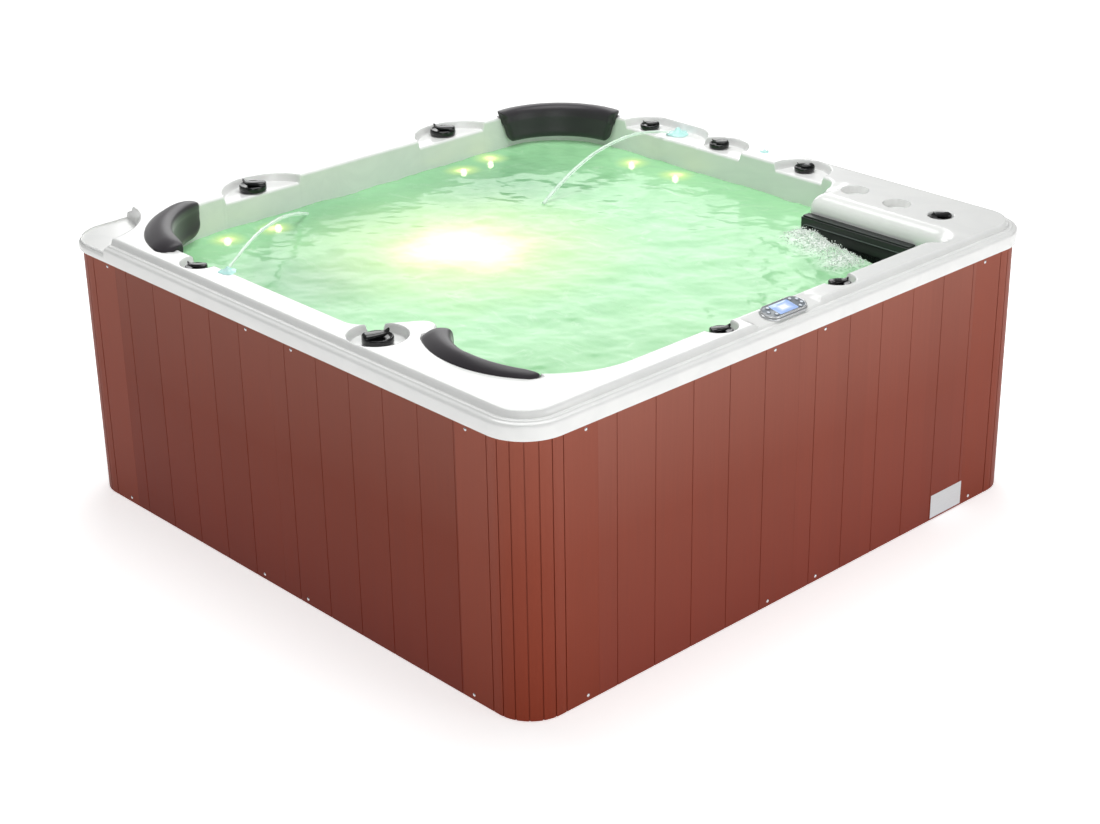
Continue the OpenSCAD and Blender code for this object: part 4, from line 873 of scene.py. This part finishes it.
def pillowSection(form, ledge):
    into, dip = form["into"], form["hollow"]
    wide = ledge + into
    top, low = pillowShape["above"], -pillowShape["below"]
    crest, edge, roll = wide * form["crest"], form["edge"], form["roll"]
    points = [(0, 2), (0, top * edge * 0.75), (1.2, top * edge * 0.93), (wide * 0.07, top * (edge + 0.04))]
    points += [(crest * share, top * (edge + (1 - edge) * rise))
               for share, rise in ((0.35, 0.5), (0.7, 0.87), (1, 1))]
    points += [(crest + (wide - crest) * share - dip * bend, top * rise) for share, bend, rise in (
        (0.3, 0, 1 - 0.015 * roll), (0.55, 0, 1 - 0.08 * roll), (0.75, 0.2, 1 - 0.23 * roll),
        (0.9, 0.6, 1 - 0.48 * roll), (0.98, 1, 0.2), (1, 1, -0.2))]
    points += [
        (wide * 0.985 - dip * 0.7, low * 0.45), (wide * 0.965 - dip * 0.2, low * 0.72),
        (wide - into * 0.2, low * 0.9), (wide - into * 0.42, low), (wide - into * 0.75, low * 0.95),
        (ledge + 2, low * 0.8), (ledge + 1, low * 0.4), (ledge + 1, 0), (ledge * 0.6, 0), (ledge * 0.15, 0)]
    return smoothRing(points)


def pillowReach(form, ledge, u, v, t):
    # distance from the outer radius, wider or narrower towards each end
    wide = ledge + form["into"]
    share = 1 + abs(t) ** 1.6 * (form["ends"][0 if t < 0 else 1] - 1)
    if v > 0:
        return u * share
    inner = ledge + 1
    return u if u < inner else inner + (u - inner) * (wide * max(1, share) - inner) / (wide - inner)


def makePillow(name, skin):
    form = pillows[name]
    middle, inner, outer, heading, half, _ = ledges[name]
    ledge = outer - inner
    section = pillowSection(form, ledge)
    anchor, deck = pillowShape["anchor"], pillowShape["deck"]
    rings = []
    for i in range(pillowShape["rings"] + 1):
        t = math.sin(math.pi * (i / pillowShape["rings"] - 0.5))
        close = math.sqrt(max(0.0, 1 - (max(0.0, abs(t) - form["round"]) / (1 - form["round"])) ** 2))
        ring = []
        for u, v in section:
            end = form["drop"] if v > anchor else form["rise"]
            tip = (ledge + 6) * (form["tip"] if v > anchor else 1)
            inward = tip + (pillowReach(form, ledge, u, v, t) - tip) * (1 - form["thin"] * (1 - close))
            lower = 1 - form["sink"] * max(0.0, t) if v > deck else 1
            tall = deck + (v - deck) * lower if v > deck else v
            height = anchor + (tall - anchor) * (1 - end * (1 - close))
            under = max(0.0, -height) / pillowShape["below"]
            over = max(0.0, height - deck) / deck
            lean = 1 - form["taper"] * under ** 0.7 + form["flare"] * over
            turn = math.radians(heading + t * half * lean)
            radius = outer - inward
            ring.append((middle[0] + radius * math.cos(turn), middle[1] + radius * math.sin(turn),
                         plan["pocket"] + pillowShape["gap"] + height))
        rings.append(ring)
    piece = buildPiece(name + "_foam", [(*loft(rings), 0)], [skin], stands=[name])
    return piece


# Knobs: a round cap with a dished top, and a ridge across it whose tip flicks up
knobForm = {
    "large": 43.5, "small": 33, "stem": 34, "stemRadius": {"large": 7, "small": 4.5},
    "side": 0.66, "top": 1.35, "dish": 4.5,
    "leverSteps": ((-0.985, -0.75, 9), (-0.7, 0.5, 14), (0.53, 0.735, 10)), "leverSides": 20,
    # along the ridge, in radii from the middle: half width, side shift, top and foot in cap heights
    "ridge": [
        (-0.985, 0.16, 0.0, 0.60, 0.2), (-0.96, 0.30, 0.0, 0.80, 0.2), (-0.90, 0.40, 0.0, 0.93, 0.2),
        (-0.78, 0.46, 0.01, 1.0, 0.2), (-0.5, 0.46, 0.03, 1.02, 0.3), (-0.15, 0.40, 0.05, 1.0, 0.35),
        (0.2, 0.33, 0.05, 1.0, 0.45), (0.42, 0.29, 0.03, 1.03, 0.6), (0.56, 0.26, 0.01, 1.12, 0.76),
        (0.65, 0.23, -0.01, 1.24, 0.92), (0.71, 0.19, -0.02, 1.33, 1.08), (0.735, 0.12, -0.02, 1.35, 1.2)],
}
# the cap of the shelf's knob is taller
capRise = {"air_knob_shelf": 7}
leverTurns = {
    "diverter_knob_back_left": 140, "diverter_knob_back_right": 135, "diverter_knob_lounge": -25,
    "air_knob_right_1": 150, "air_knob_right_2": 140, "air_knob_right_3": 145, "air_knob_shelf": 150,
    "air_knob_left": 135, "air_knob_front_1": -30, "air_knob_front_2": -35}


def leverRings(radius, tall):
    rings = []
    places, *columns = zip(*knobForm["ridge"])
    sides = knobForm["leverSides"]
    for along in np.concatenate([np.linspace(*steps) for steps in knobForm["leverSteps"]]):
        half, side, rise, foot = (np.interp(along, places, column) for column in columns)
        ring = []
        for k in range(sides):
            turn = 2 * math.pi * k / sides
            c, n = math.cos(turn), math.sin(turn)
            y = side + half * math.copysign(abs(c) ** 0.7, c)
            z = (rise + foot) / 2 + (rise - foot) / 2 * math.copysign(abs(n) ** 0.55, n)
            ring.append((along * radius, y * radius, z * tall))
        rings.append(ring)
    return rings


def makeKnob(name, gloss):
    low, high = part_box(name)
    size = "large" if "diverter" in name else "small"
    radius, stem, deep = knobForm[size], knobForm["stemRadius"][size], knobForm["stem"]
    tall = ((high.z - low.z) / mm - deep) / knobForm["top"]
    rise = capRise.get(name, 0)
    top = tall * knobForm["side"] + rise
    dished = top - knobForm["dish"]
    cap = lathe([(0, -deep), (stem, -deep), (stem, 0), (radius - 2, 0), (radius - 0.5, 0.7), (radius, 2.2),
                 (radius, top * 0.72), (radius - 0.5, top * 0.86), (radius - 1.6, top * 0.95),
                 (radius - 3.2, top), (radius - 4.8, top * 0.985), (radius - 6.8, top - 1.6),
                 (radius - 9.5, top - 3.2), (radius * 0.6, dished), (0, dished)])
    lever = loft([[(x, y, z + rise) for x, y, z in ring] for ring in leverRings(radius, tall)])
    middle = (low + high) / 2
    place = Matrix.Translation((middle.x, middle.y, low.z + deep * mm))
    place = place @ Matrix.Rotation(math.radians(leverTurns[name]), 4, "Z")
    return buildPiece(name + "_cap", [(*cap, 0), (*lever, 0)], [gloss], body=name, place=place,
                      stands=[name])


# Control panel on its slope
panelForm = {"length": 166, "width": 70, "tall": 10.5, "slopeRise": 21, "slopeRun": 106, "fromRim": 60,
             "seat": 0.3,
             "display": (76, 48), "displayCorner": 5, "padShare": 0.62, "keyLift": -0.05}


def panelPlace():
    slope = math.atan(panelForm["slopeRise"] / panelForm["slopeRun"])
    height = plan["bead"] + panelForm["fromRim"] * math.tan(slope) + panelForm["seat"]
    place = Vector((notch["middle"], -halfDeep + panelForm["fromRim"], height)) * mm
    return Matrix.Translation(place) @ Matrix.Rotation(slope, 4, "X")


def displayMiddle():
    return panelPlace() @ Vector((0, 0, panelForm["tall"] * mm))


def makeControlPanel(ring, face, glass, rubber):
    place = panelPlace()
    tall = panelForm["tall"]

    def outline(inset):
        return stadium(panelForm["length"], panelForm["width"], inset)

    def window(inset):
        halfX, halfY = (size / 2 - inset for size in panelForm["display"])
        return roundRect((halfX, halfY), panelForm["displayCorner"], (0, 0), 6).tolist()

    baseVerts, baseFaces = loft(slabRings(outline, [
        (4, 0), (0.6, 0), (0, 0.6), (0, tall * 0.36), (0.8, tall * 0.47), (3.2, tall * 0.56),
        (3.6, tall * 0.62), (3.0, tall * 0.70), (3.0, tall * 0.88), (3.7, tall * 0.98), (4.8, tall),
        (6.2, tall), (7.0, tall - 0.5), (7.3, tall - 2)]))
    plate = loft(slabRings(outline, [(7.1, tall - 2.4), (7.1, tall - 1.4), (7.6, tall - 1.1)]))
    # the ring's last face is left open for the plate
    buildPiece("control_panel_ring", [(baseVerts, baseFaces[:-1], 0), (*plate, 1)], [ring, face],
               place=place, stands=["control_bezel"])
    pane = loft(slabRings(window, [(0, tall - 2), (0, tall - 0.9), (0.5, tall - 0.6)]))
    buildPiece("control_panel_display", [(*pane, 0)], [glass], place=place,
               stands=["control_display"])
    for name in ("key_jets_1", "key_jets_2", "key_light", "key_up", "key_down", "key_blower", "key_mode"):
        low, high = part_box(name)
        spot = place.inverted() @ ((low + high) / 2)
        radius = (high.x - low.x) / 2 / mm
        # it stands clear of the plate by a little more than its travel
        base = tall + panelForm["keyLift"]
        pad = radius * panelForm["padShare"]
        key = lathe([(0, base), (radius, base), (radius, base + 0.3), (radius - 0.3, base + 0.6),
                     (radius - 1.0, base + 0.8), (pad + 0.4, base + 0.8), (pad + 0.2, base + 0.4),
                     (0, base + 0.4)], 40)
        top = lathe([(0, base + 0.3), (pad, base + 0.3), (pad, base + 1.0), (pad - 0.6, base + 1.35),
                     (0, base + 1.5)], 40)
        buildPiece(name + "_button", [(*key, 0), (*top, 1)], [face, rubber], body=name,
                   place=place @ Matrix.Translation((spot.x, spot.y, 0)), stands=[name])


# Skimmer: moulded frame with a comb under its mouth, and the weir flap
skimmerForm = {
    "sideIn": 33, "lowIn": 52, "highIn": 24, "slots": 24, "slotWall": 2.5, "apron": 26, "lip": 1.6,
    # comb of fins in front of the slots
    "fins": 48, "finTop": 758, "finFoot": 684, "finOut": 7, "finThick": 1.0,
    # hinged flap behind the mouth
    "flapCorner": 14, "flapThick": 5, "flapGap": 7.5, "hinge": 3,
}


def boxPart(low, high, soft=1.2):
    # a box whose edges are softened, as a moulding's are
    (x0, y0, z0), (x1, y1, z1) = low, high

    def outline(inset):
        half = ((x1 - x0) / 2 - inset, (y1 - y0) / 2 - inset)
        return roundRect(half, soft, ((x0 + x1) / 2, (y0 + y1) / 2), 200).tolist()

    foot = [(soft * 0.7, z0), (0.2, z0 + soft * 0.4), (0, z0 + soft)]
    top = [(0, z1 - soft), (0.2, z1 - soft * 0.4), (soft * 0.7, z1)]
    return loft(slabRings(outline, foot + top))


def roundPath(path, radius, sides=8):
    # a round bar along points that lie in one plane across X
    rings = []
    outwards = Vector((1, 0, 0))
    for i, spot in enumerate(path):
        ahead = (path[min(i + 1, len(path) - 1)] - path[max(i - 1, 0)]).normalized()
        across = outwards.cross(ahead)
        rings.append([tuple(spot + radius * (math.cos(a) * outwards + math.sin(a) * across))
                      for a in np.linspace(0, 2 * math.pi, sides + 1)[:-1]])
    return loft(rings)


def makeSkimmer(satin, edge):
    low, high = [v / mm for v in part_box("skimmer_frame")]
    form = skimmerForm
    left, right = low.y + form["sideIn"], high.y - form["sideIn"]
    foot, top = low.z + form["lowIn"], high.z - form["highIn"]
    front, back = low.x, high.x
    boxes = [
        ((front, low.y, top), (back, high.y, high.z - 5), 2),
        ((front + 5, low.y + 3, high.z - 6), (back, high.y - 3, high.z), 2),
        ((front, low.y, low.z), (back, left, top + 1), 2),
        ((front, right, low.z), (back, high.y, top + 1), 2),
        ((front, left - 1, low.z), (back, right + 1, low.z + 14), 2),
        ((front, left - 1, foot - 12), (back, right + 1, foot), 2)]
    step = (right - left - 16) / form["slots"]
    half = step / 2 - form["slotWall"]
    for i in range(form["slots"] + 1):
        y = left + 8 + (i - 0.5) * step
        boxes.append(((front + 1, y - half, low.z + 12), (back - 2, y + half, foot - 10), 1))
    thick = form["finThick"]
    for y in np.linspace(left + 6, right - 6, form["fins"]):
        boxes.append(((front - form["finOut"], y - thick, form["finFoot"]),
                      (front + 3, y + thick, form["finTop"]), 0.8))
    # thin apron over the flap's top edge, with a rounded lip drawn lighter as a painted highlight
    apron = high.z - form["apron"]
    boxes.append(((front, low.y, apron), (front + 3, high.y, top + 1), 1))
    corner = [(8, low.z + 20), (8, apron - 12), (12, apron - 4), (22, apron)]
    path = [(low.y + inset, z) for inset, z in corner] + [(high.y - inset, z) for inset, z in corner[::-1]]
    lip = roundPath([Vector((front - 0.2, y, z)) for y, z in path], form["lip"])
    parts = [(*boxPart(*box), 0) for box in boxes] + [(*lip, 1)]
    buildPiece("skimmer_moulding", parts, [satin, edge], stands=["skimmer_frame"])


def makeFlap(satin):
    low, high = [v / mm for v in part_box("weir_flap")]
    hinge, thick = skimmerForm["hinge"], skimmerForm["flapThick"] / 2
    middle = low.x + (high.x - low.x) / 2
    y0, y1 = low.y + skimmerForm["flapGap"], high.y - skimmerForm["flapGap"]
    z0, z1 = low.z + hinge, high.z
    rings = []
    for inset, x in ((1.2, -thick), (0.2, -thick + 0.6), (0, -thick + 1.2), (0, thick - 1.2), (1.2, thick)):
        half = ((y1 - y0) / 2 - inset, (z1 - z0) / 2 - inset)
        board = roundRect(half, skimmerForm["flapCorner"], (0, 0), 12)
        rings.append([(middle + x, (y0 + y1) / 2 + p, (z0 + z1) / 2 + q) for p, q in board])
    turns = np.linspace(0, 2 * math.pi, 25)[:-1]
    rod = [[(middle + hinge * math.cos(a), y, z0 + hinge * math.sin(a)) for a in turns]
           for y in (low.y, low.y + 1, high.y - 1, high.y)]
    buildPiece("weir_flap_moulding", [(*loft(rings), 0), (*loft(rod), 0)], [satin], body="flap",
               stands=["weir_flap"])


# Water: only in this scene, it rests in the shell and hides what lies under it
waterForm = {
    "clear": -1.6, "step": 11, "swell": 5.5, "foamRise": 20, "dip": 46, "dipReach": 125,
    # length, share and seed of each size of wave, then length and seed of the froth
    "waves": ((150, 1, 3.1), (62, 0.5, 7.7), (24, 0.25, 1.3)), "frothWave": (17, 9.1),
    # middle of the large light under water, and how far its rim, core and hottest part reach
    "glow": (-140, 215), "glowRim": 640, "glowCore": 300, "glowHot": 235,
    # the small lights, and how far their glow and their hot middle reach
    "lights": ((512, 826), (360, 794), (816, 433), (827, 236), (-609, 798), (-439, 782)),
    "lampGlow": 75, "lampHot": 34,
    # painted shade, darker water away from the large light: middle, reach and strength
    "dark": (((-640, 330), 420, 0.9), ((330, 620), 520, 0.8), ((-250, 760), 420, 0.6)),
    # line of the foam in front of the skimmer, how far it lies thick, and how far its froth reaches
    "foam": ((660, -470), (642, -570), (578, -700)), "foamReach": 80, "froth": (103.5, 126.5, 115),
    # shade close under the skimmer
    "shade": ((690, -625), (690, -685), (690, -745)), "shadeReach": 62,
    "skimmerWall": ((plan["shelfWall"], -590), (plan["shelfWall"], -860)),
}


def lineAway(x, y, spots):
    best = 1e9
    for (ax, ay), (bx, by) in zip(spots[:-1], spots[1:]):
        dx, dy = bx - ax, by - ay
        t = min(1.0, max(0.0, ((x - ax) * dx + (y - ay) * dy) / (dx * dx + dy * dy)))
        best = min(best, math.hypot(x - ax - t * dx, y - ay - t * dy))
    return best


def foamAmount(x, y):
    # how much foam lies at a point, strongest in front of the skimmer
    return max(0.0, 1 - lineAway(x, y, waterForm["foam"]) / waterForm["foamReach"])


def wave(x, y, length, seed):
    return noise.noise(Vector((x / length, y / length, seed)))


def waterHeight(x, y):
    swell = sum(share * wave(x, y, length, seed) for length, share, seed in waterForm["waves"])
    foam = foamAmount(x, y)
    froth = foam ** 0.7 * (0.6 + abs(wave(x, y, *waterForm["frothWave"])))
    # the skimmer draws the surface down in front of its comb
    near = float(ease(1 - lineAway(x, y, waterForm["skimmerWall"]) / waterForm["dipReach"]))
    dip = waterForm["dip"] * near * (1 - 0.5 * foam)
    return plan["water"] + waterForm["swell"] * swell + waterForm["foamRise"] * froth - dip


# Water, pale green from the lamps below it, with white foam where it is stirred
def makeWaterLook():
    look = {"deep": "#8CCA94", "pale": "#ADE6B0", "foam": "#DDF4DF", "glowRim": "#EFFF9A",
            "glowCore": "#FFFFC8",
            "lamp": "#EBFF9A", "shade": "#3F5F3A", "dark": "#79AE84", "froth": 11, "ripple": 3}
    material, tree = startMaterial("litWater")
    place = addNode(tree, "TexCoord").outputs["Object"]
    stretch = addNode(tree, "Mapping", {"Scale": (1, 0.6, 1), "Rotation": (0, 0, 0.6)}, {"Vector": place})
    cloud = addNode(tree, "TexNoise", {"Scale": 3.4, "Detail": 6.0, "Roughness": 0.62, "Distortion": 1.1},
                    {"Vector": stretch})
    body = addNode(tree, "Mix", {"data_type": "RGBA", 6: srgb(look["deep"]), 7: srgb(look["pale"])},
                   {0: cloud})
    streak = addNode(tree, "TexNoise", {"Scale": 9.0, "Detail": 8.0, "Roughness": 0.7, "Distortion": 2.2},
                     {"Vector": stretch})
    foam = addNode(tree, "ValToRGB", None, {0: streak})
    setStops(foam, [(0.55, (0, 0, 0, 1)), (0.72, (1, 1, 1, 1))])
    specks = addNode(tree, "TexNoise", {"Scale": 1000 / look["froth"], "Detail": 3.0, "Roughness": 0.7},
                     {"Vector": place})
    froth = addNode(tree, "ValToRGB", None, {0: specks})
    setStops(froth, [(0.40, srgb("#8FA893")), (0.50, srgb("#F3FAF4")), (0.6, srgb("#FFFFFF"))])

    def nearSpot(spot, reach, bend):
        # 1 at a spot on the water and 0 at its reach, with a wavering edge
        shake = addNode(tree, "TexNoise", {"Scale": 6.0, "Detail": 2.5}, {"Vector": place})
        moved = addNode(tree, "VectorMath", {"operation": "SCALE", "Scale": bend}, {0: shake.outputs[1]})
        bent = addNode(tree, "VectorMath", {"operation": "ADD"}, {0: place, 1: moved})
        middle = [v * mm + bend / 2 for v in (*spot, plan["water"])]
        away = addNode(tree, "VectorMath", {"operation": "SUBTRACT", 1: middle}, {0: bent})
        size = addNode(tree, "VectorMath", {"operation": "LENGTH"}, {0: away})
        return addNode(tree, "MapRange", {1: reach * mm, 2: 0.0, "interpolation_type": "SMOOTHSTEP"},
                       {0: size.outputs["Value"]})

    # layers from the bottom up: colour, where it lies, and how much of it shows
    form = waterForm
    layers = [(look["foam"], foam, 0.4)]
    # painted shade: the water lies darker at the left and far sides, away from the large light
    layers += [(look["dark"], nearSpot(spot, reach, 0.1), share) for spot, reach, share in form["dark"]]
    layers += [(froth, nearSpot(spot, reach, 0.07), 1) for spot, reach in zip(form["foam"], form["froth"])]
    layers += [(look["shade"], nearSpot(spot, form["shadeReach"], 0.05), 0.85) for spot in form["shade"]]
    layers += [(look["glowRim"], nearSpot(form["glow"], form["glowRim"], 0.12), 0.5),
               (look["glowCore"], nearSpot(form["glow"], form["glowCore"], 0.12), 1)]
    layers += [(look["lamp"], nearSpot(spot, form["lampGlow"], 0.03), 0.75) for spot in form["lights"]]
    colour = body.outputs[2]
    for tint, amount, share in layers:
        if share < 1:
            amount = addNode(tree, "Math", {"operation": "MULTIPLY", 1: share}, {0: amount})
        settings, links = {"data_type": "RGBA"}, {0: amount, 6: colour}
        if isinstance(tint, str):
            settings[7] = srgb(tint)
        else:
            links[7] = tint
        colour = addNode(tree, "Mix", settings, links).outputs[2]
    hot = nearSpot(form["glow"], form["glowHot"], 0.12)
    for spot in form["lights"]:
        hot = addNode(tree, "Math", {"operation": "ADD"},
                      {0: hot, 1: nearSpot(spot, form["lampHot"], 0.02)})
    strength = addNode(tree, "MapRange", {3: 0.22, 4: 1.4}, {0: hot})
    bump = addNode(tree, "TexNoise", {"Scale": 40.0, "Detail": 4.0}, {"Vector": stretch})
    ripple = addNode(tree, "Bump", {"Strength": 0.35, "Distance": look["ripple"] * mm}, {"Height": bump})
    return endMaterial(material, {"Roughness": 0.1, "IOR": 1.33, "Alpha": 0.86}, {
        "Base Color": colour, "Emission Color": colour, "Emission Strength": strength, "Normal": ripple})


def makeWater(look):
    edge = basinEdge(waterForm["clear"], 6.0)
    cloud = gridPoints(waterForm["step"], 60)
    cloud = cloud[lineDistance(cloud, basinEdge(waterForm["clear"], 30.0)) < -8]
    points = [Vector(q) for q in np.concatenate([edge, cloud])]
    loop = [(i, (i + 1) % len(edge)) for i in range(len(edge))]
    made = geometry.delaunay_2d_cdt(points, loop, [], 1, 1e-3)
    verts = [(v.x, v.y, waterHeight(v.x, v.y)) for v in made[0]]
    return buildPiece("water_surface", [(verts, [tuple(f) for f in made[2]], 0)], [look])


# Fountains: nozzle and height there, landing point and top of the arc, radius of the splash and its shift
fountains = [
    {"name": "right", "at": (halfWide - 105, halfDeep - 655, 859), "to": (311, 343), "top": 898,
     "splash": 37, "shift": (20, -20)},
    {"name": "middle", "at": (halfWide - 80, -halfDeep + 1017, 884), "to": None,
     "splash": 15, "shift": (-8, -8)},
    {"name": "left", "at": (-halfWide + 115, halfDeep - 713, 884), "to": (-286, 816), "top": 893,
     "splash": 26, "shift": (0, 0)},
]
streamForm = {"steps": 60, "sides": 12, "radius": 4.0, "spread": 2.6, "waver": 1.6, "sway": 2.0}
# share of the splash's radius and height, from its foot to its tip, for a splash of the radius "full"
splashForm = {"sides": 56, "full": 34, "sunk": 4, "rows": (
    (1.0, 0.4), (0.97, 2.2), (0.85, 4.0), (0.62, 5.5), (0.4, 9), (0.25, 15), (0.12, 20), (0.02, 22))}


def streamRings(form):
    x, y, z = form["at"]
    tx, ty = form["to"]
    rise, drop = form["top"] - z, form["top"] - plan["water"]
    share = 1 / (1 + math.sqrt(drop / rise))
    heading = math.atan2(ty - y, tx - x)
    rings = []
    for i in range(streamForm["steps"] + 1):
        s = i / streamForm["steps"]
        sway = streamForm["sway"] * noise.noise(Vector((s * 9, x, 0.3)))
        below = rise * ((share - s) / share) ** 2 if s < share else drop * ((s - share) / (1 - share)) ** 2
        px, py = x + (tx - x) * s, y + (ty - y) * s
        waver = streamForm["waver"] * noise.noise(Vector((s * 23, y, 5.1)))
        thick = streamForm["radius"] + streamForm["spread"] * s + waver
        ring = []
        for k in range(streamForm["sides"]):
            turn = 2 * math.pi * k / streamForm["sides"]
            side = thick * math.cos(turn) + sway
            ring.append((px - side * math.sin(heading), py + side * math.cos(heading),
                         form["top"] - below + thick * math.sin(turn)))
        rings.append(ring)
    return rings


def splashRings(form):
    x, y = (form["at"][axis] + form["shift"][axis] for axis in (0, 1))
    rings = []
    for share, height in splashForm["rows"]:
        ring = []
        for k in range(splashForm["sides"]):
            turn = 2 * math.pi * k / splashForm["sides"]
            lobes = 1 + 0.08 * math.sin(3 * turn + 0.7) + 0.05 * math.sin(7 * turn + 2.1)
            reach = form["splash"] * share * (lobes if share > 0.4 else 1)
            ring.append((x + reach * math.cos(turn), y + reach * math.sin(turn),
                         form["at"][2] - splashForm["sunk"] + height * form["splash"] / splashForm["full"]))
        rings.append(ring)
    return rings


def makeFountain(form, stream, splash):
    if form["to"]:
        buildPiece("fountain_stream_" + form["name"], [(*loft(streamRings(form)), 0)], [stream])
    buildPiece("fountain_splash_" + form["name"], [(*loft(splashRings(form)), 0)], [splash])


# Drops and bubbles thrown up where the water is stirred
dropForm = {"count": 1300, "seed": 7, "size": (0.9, 2.4), "throw": 7.8, "alongX": (430, 700),
            "alongY": (-860, -380)}


def makeDrops(look):
    random = np.random.default_rng(dropForm["seed"])
    template = bmesh.new()
    bmesh.ops.create_icosphere(template, subdivisions=1, radius=1.0)
    ballVerts = [v.co.copy() for v in template.verts]
    ballFaces = [tuple(v.index for v in f.verts) for f in template.faces]
    template.free()
    verts, faces = [], []
    placed = 0
    while placed < dropForm["count"]:
        x, y = random.uniform(*dropForm["alongX"]), random.uniform(*dropForm["alongY"])
        keep = foamAmount(x, y)
        if random.uniform() > keep:
            continue
        size = random.uniform(*dropForm["size"])
        z = waterHeight(x, y) + abs(random.normal()) * dropForm["throw"] * keep
        start = len(verts)
        verts += [(x + size * v.x, y + size * v.y, z + size * v.z) for v in ballVerts]
        faces += [tuple(start + i for i in f) for f in ballFaces]
        placed += 1
    return buildPiece("foam_drops", [(verts, faces, 0)], [look])


# All pieces
made = {name: makeFinish(name) for name in finishes}
made["panelX"] = makeBoard("boardsAlongX")
made["panelY"] = makeBoard("boardsAlongY")
made["cornerSlats"] = makeBoard("slats")
made["pillow"] = makeFoamSkin()
made["lens"] = makeClear("warmLens")
displayGlass = makeDisplayGlass()
print("finishes made,", len(made))

finishNodes = {
    "tray": "base_tray cable_gland",
    "timber": "frame_bottom frame_posts frame_top",
    "screw": "panel_screws",
    "fitting": "pillow_pins diverter_bodies air_valve_bodies drain_valve",
    "filter": "filter_cartridges",
    "nozzle": "fountain_nozzles",
    "jet": "jet_faces suction_covers",
    "pvc": "jet_bodies pipework",
    "lens": "light_lenses",
    "skimmer": "filter_housing",
    "pump": "jet_pump",
    "rotor": "pump_rotor",
    "heater": "heater",
    "box": "control_box",
    "plate": "rating_plate",
    "panelX": "panel_front_a panel_front_b panel_back_a panel_back_b",
    "panelY": "panel_left_a panel_left_b panel_right_a panel_right_b",
    "cornerSlats": "corner_front_left corner_front_right corner_back_right corner_back_left",
}
nodeFinish = {name: finish for finish, names in finishNodes.items() for name in names.split()}
for name, finish in nodeFinish.items():
    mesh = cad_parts[name].data
    mesh.materials.clear()
    mesh.materials.append(made[finish])
print("carried-over nodes finished,", len(nodeFinish))

for name in pillows:
    makePillow(name, made["pillow"])
print("headrests formed")
for name in leverTurns:
    makeKnob(name, made["knob"])
print("knobs formed")
makeControlPanel(made["ring"], made["face"], displayGlass, made["key"])
makeSkimmer(made["skimmer"], made["edge"])
makeFlap(made["skimmer"])
print("control panel and skimmer formed")
makeWater(makeWaterLook())
streamLook, splashLook = makeClear("fallingWater"), makeClear("cyanSplash")
for form in fountains:
    makeFountain(form, streamLook, splashLook)
makeDrops(made["froth"])
print("water poured")


# Floor and light
studio = {"sky": 0.22, "floorGlow": 0.6, "floorHalf": 60}


def makeStage():
    white = srgb("#FFFFFF")
    material, _ = startMaterial("paperFloor")
    endMaterial(material, {"Base Color": white, "Roughness": 0.9, "Emission Color": white,
                           "Emission Strength": studio["floorGlow"]}, {})
    size = studio["floorHalf"]
    mesh = bpy.data.meshes.new("floor")
    corners = [(-size, -size, 0), (size, -size, 0), (size, size, 0), (-size, size, 0)]
    mesh.from_pydata(corners, [], [(0, 1, 2, 3)])
    mesh.materials.append(material)
    floor = addObject("floor", mesh)
    world = bpy.data.worlds.new("studio")
    bpy.context.scene.world = world
    world.use_nodes = True
    background = world.node_tree.nodes["Background"]
    background.inputs["Color"].default_value = white
    background.inputs["Strength"].default_value = studio["sky"]
    bpy.context.scene.view_settings.view_transform = "Standard"


lamps = [
    # name, place, aim, size, watts
    ("overhead", (0.3, 0.2, 4.2), (0, 0, 0.6), 3.0, 112),
    ("farSoftbox", (4.9, 6.1, 4.3), (0, 0, 0.8), 4.8, 170),
    ("rightFront", (2.0, -6.5, 1.6), (0, 0, 0.5), 3.0, 70),
    ("nearFill", (-5.0, -5.6, 2.0), (0, 0, 0.5), 3.0, 80),
]


def makeLamps():
    for name, place, aim, size, watts in lamps:
        data = bpy.data.lights.new(name, "AREA")
        data.size = size
        data.energy = watts
        lamp = addObject(name, data)
        lamp.location = place
        lamp.rotation_mode = "QUATERNION"
        lamp.rotation_quaternion = (Vector(aim) - Vector(place)).to_track_quat("-Z", "Y")


makeStage()
makeLamps()
print("floor and lamps placed")
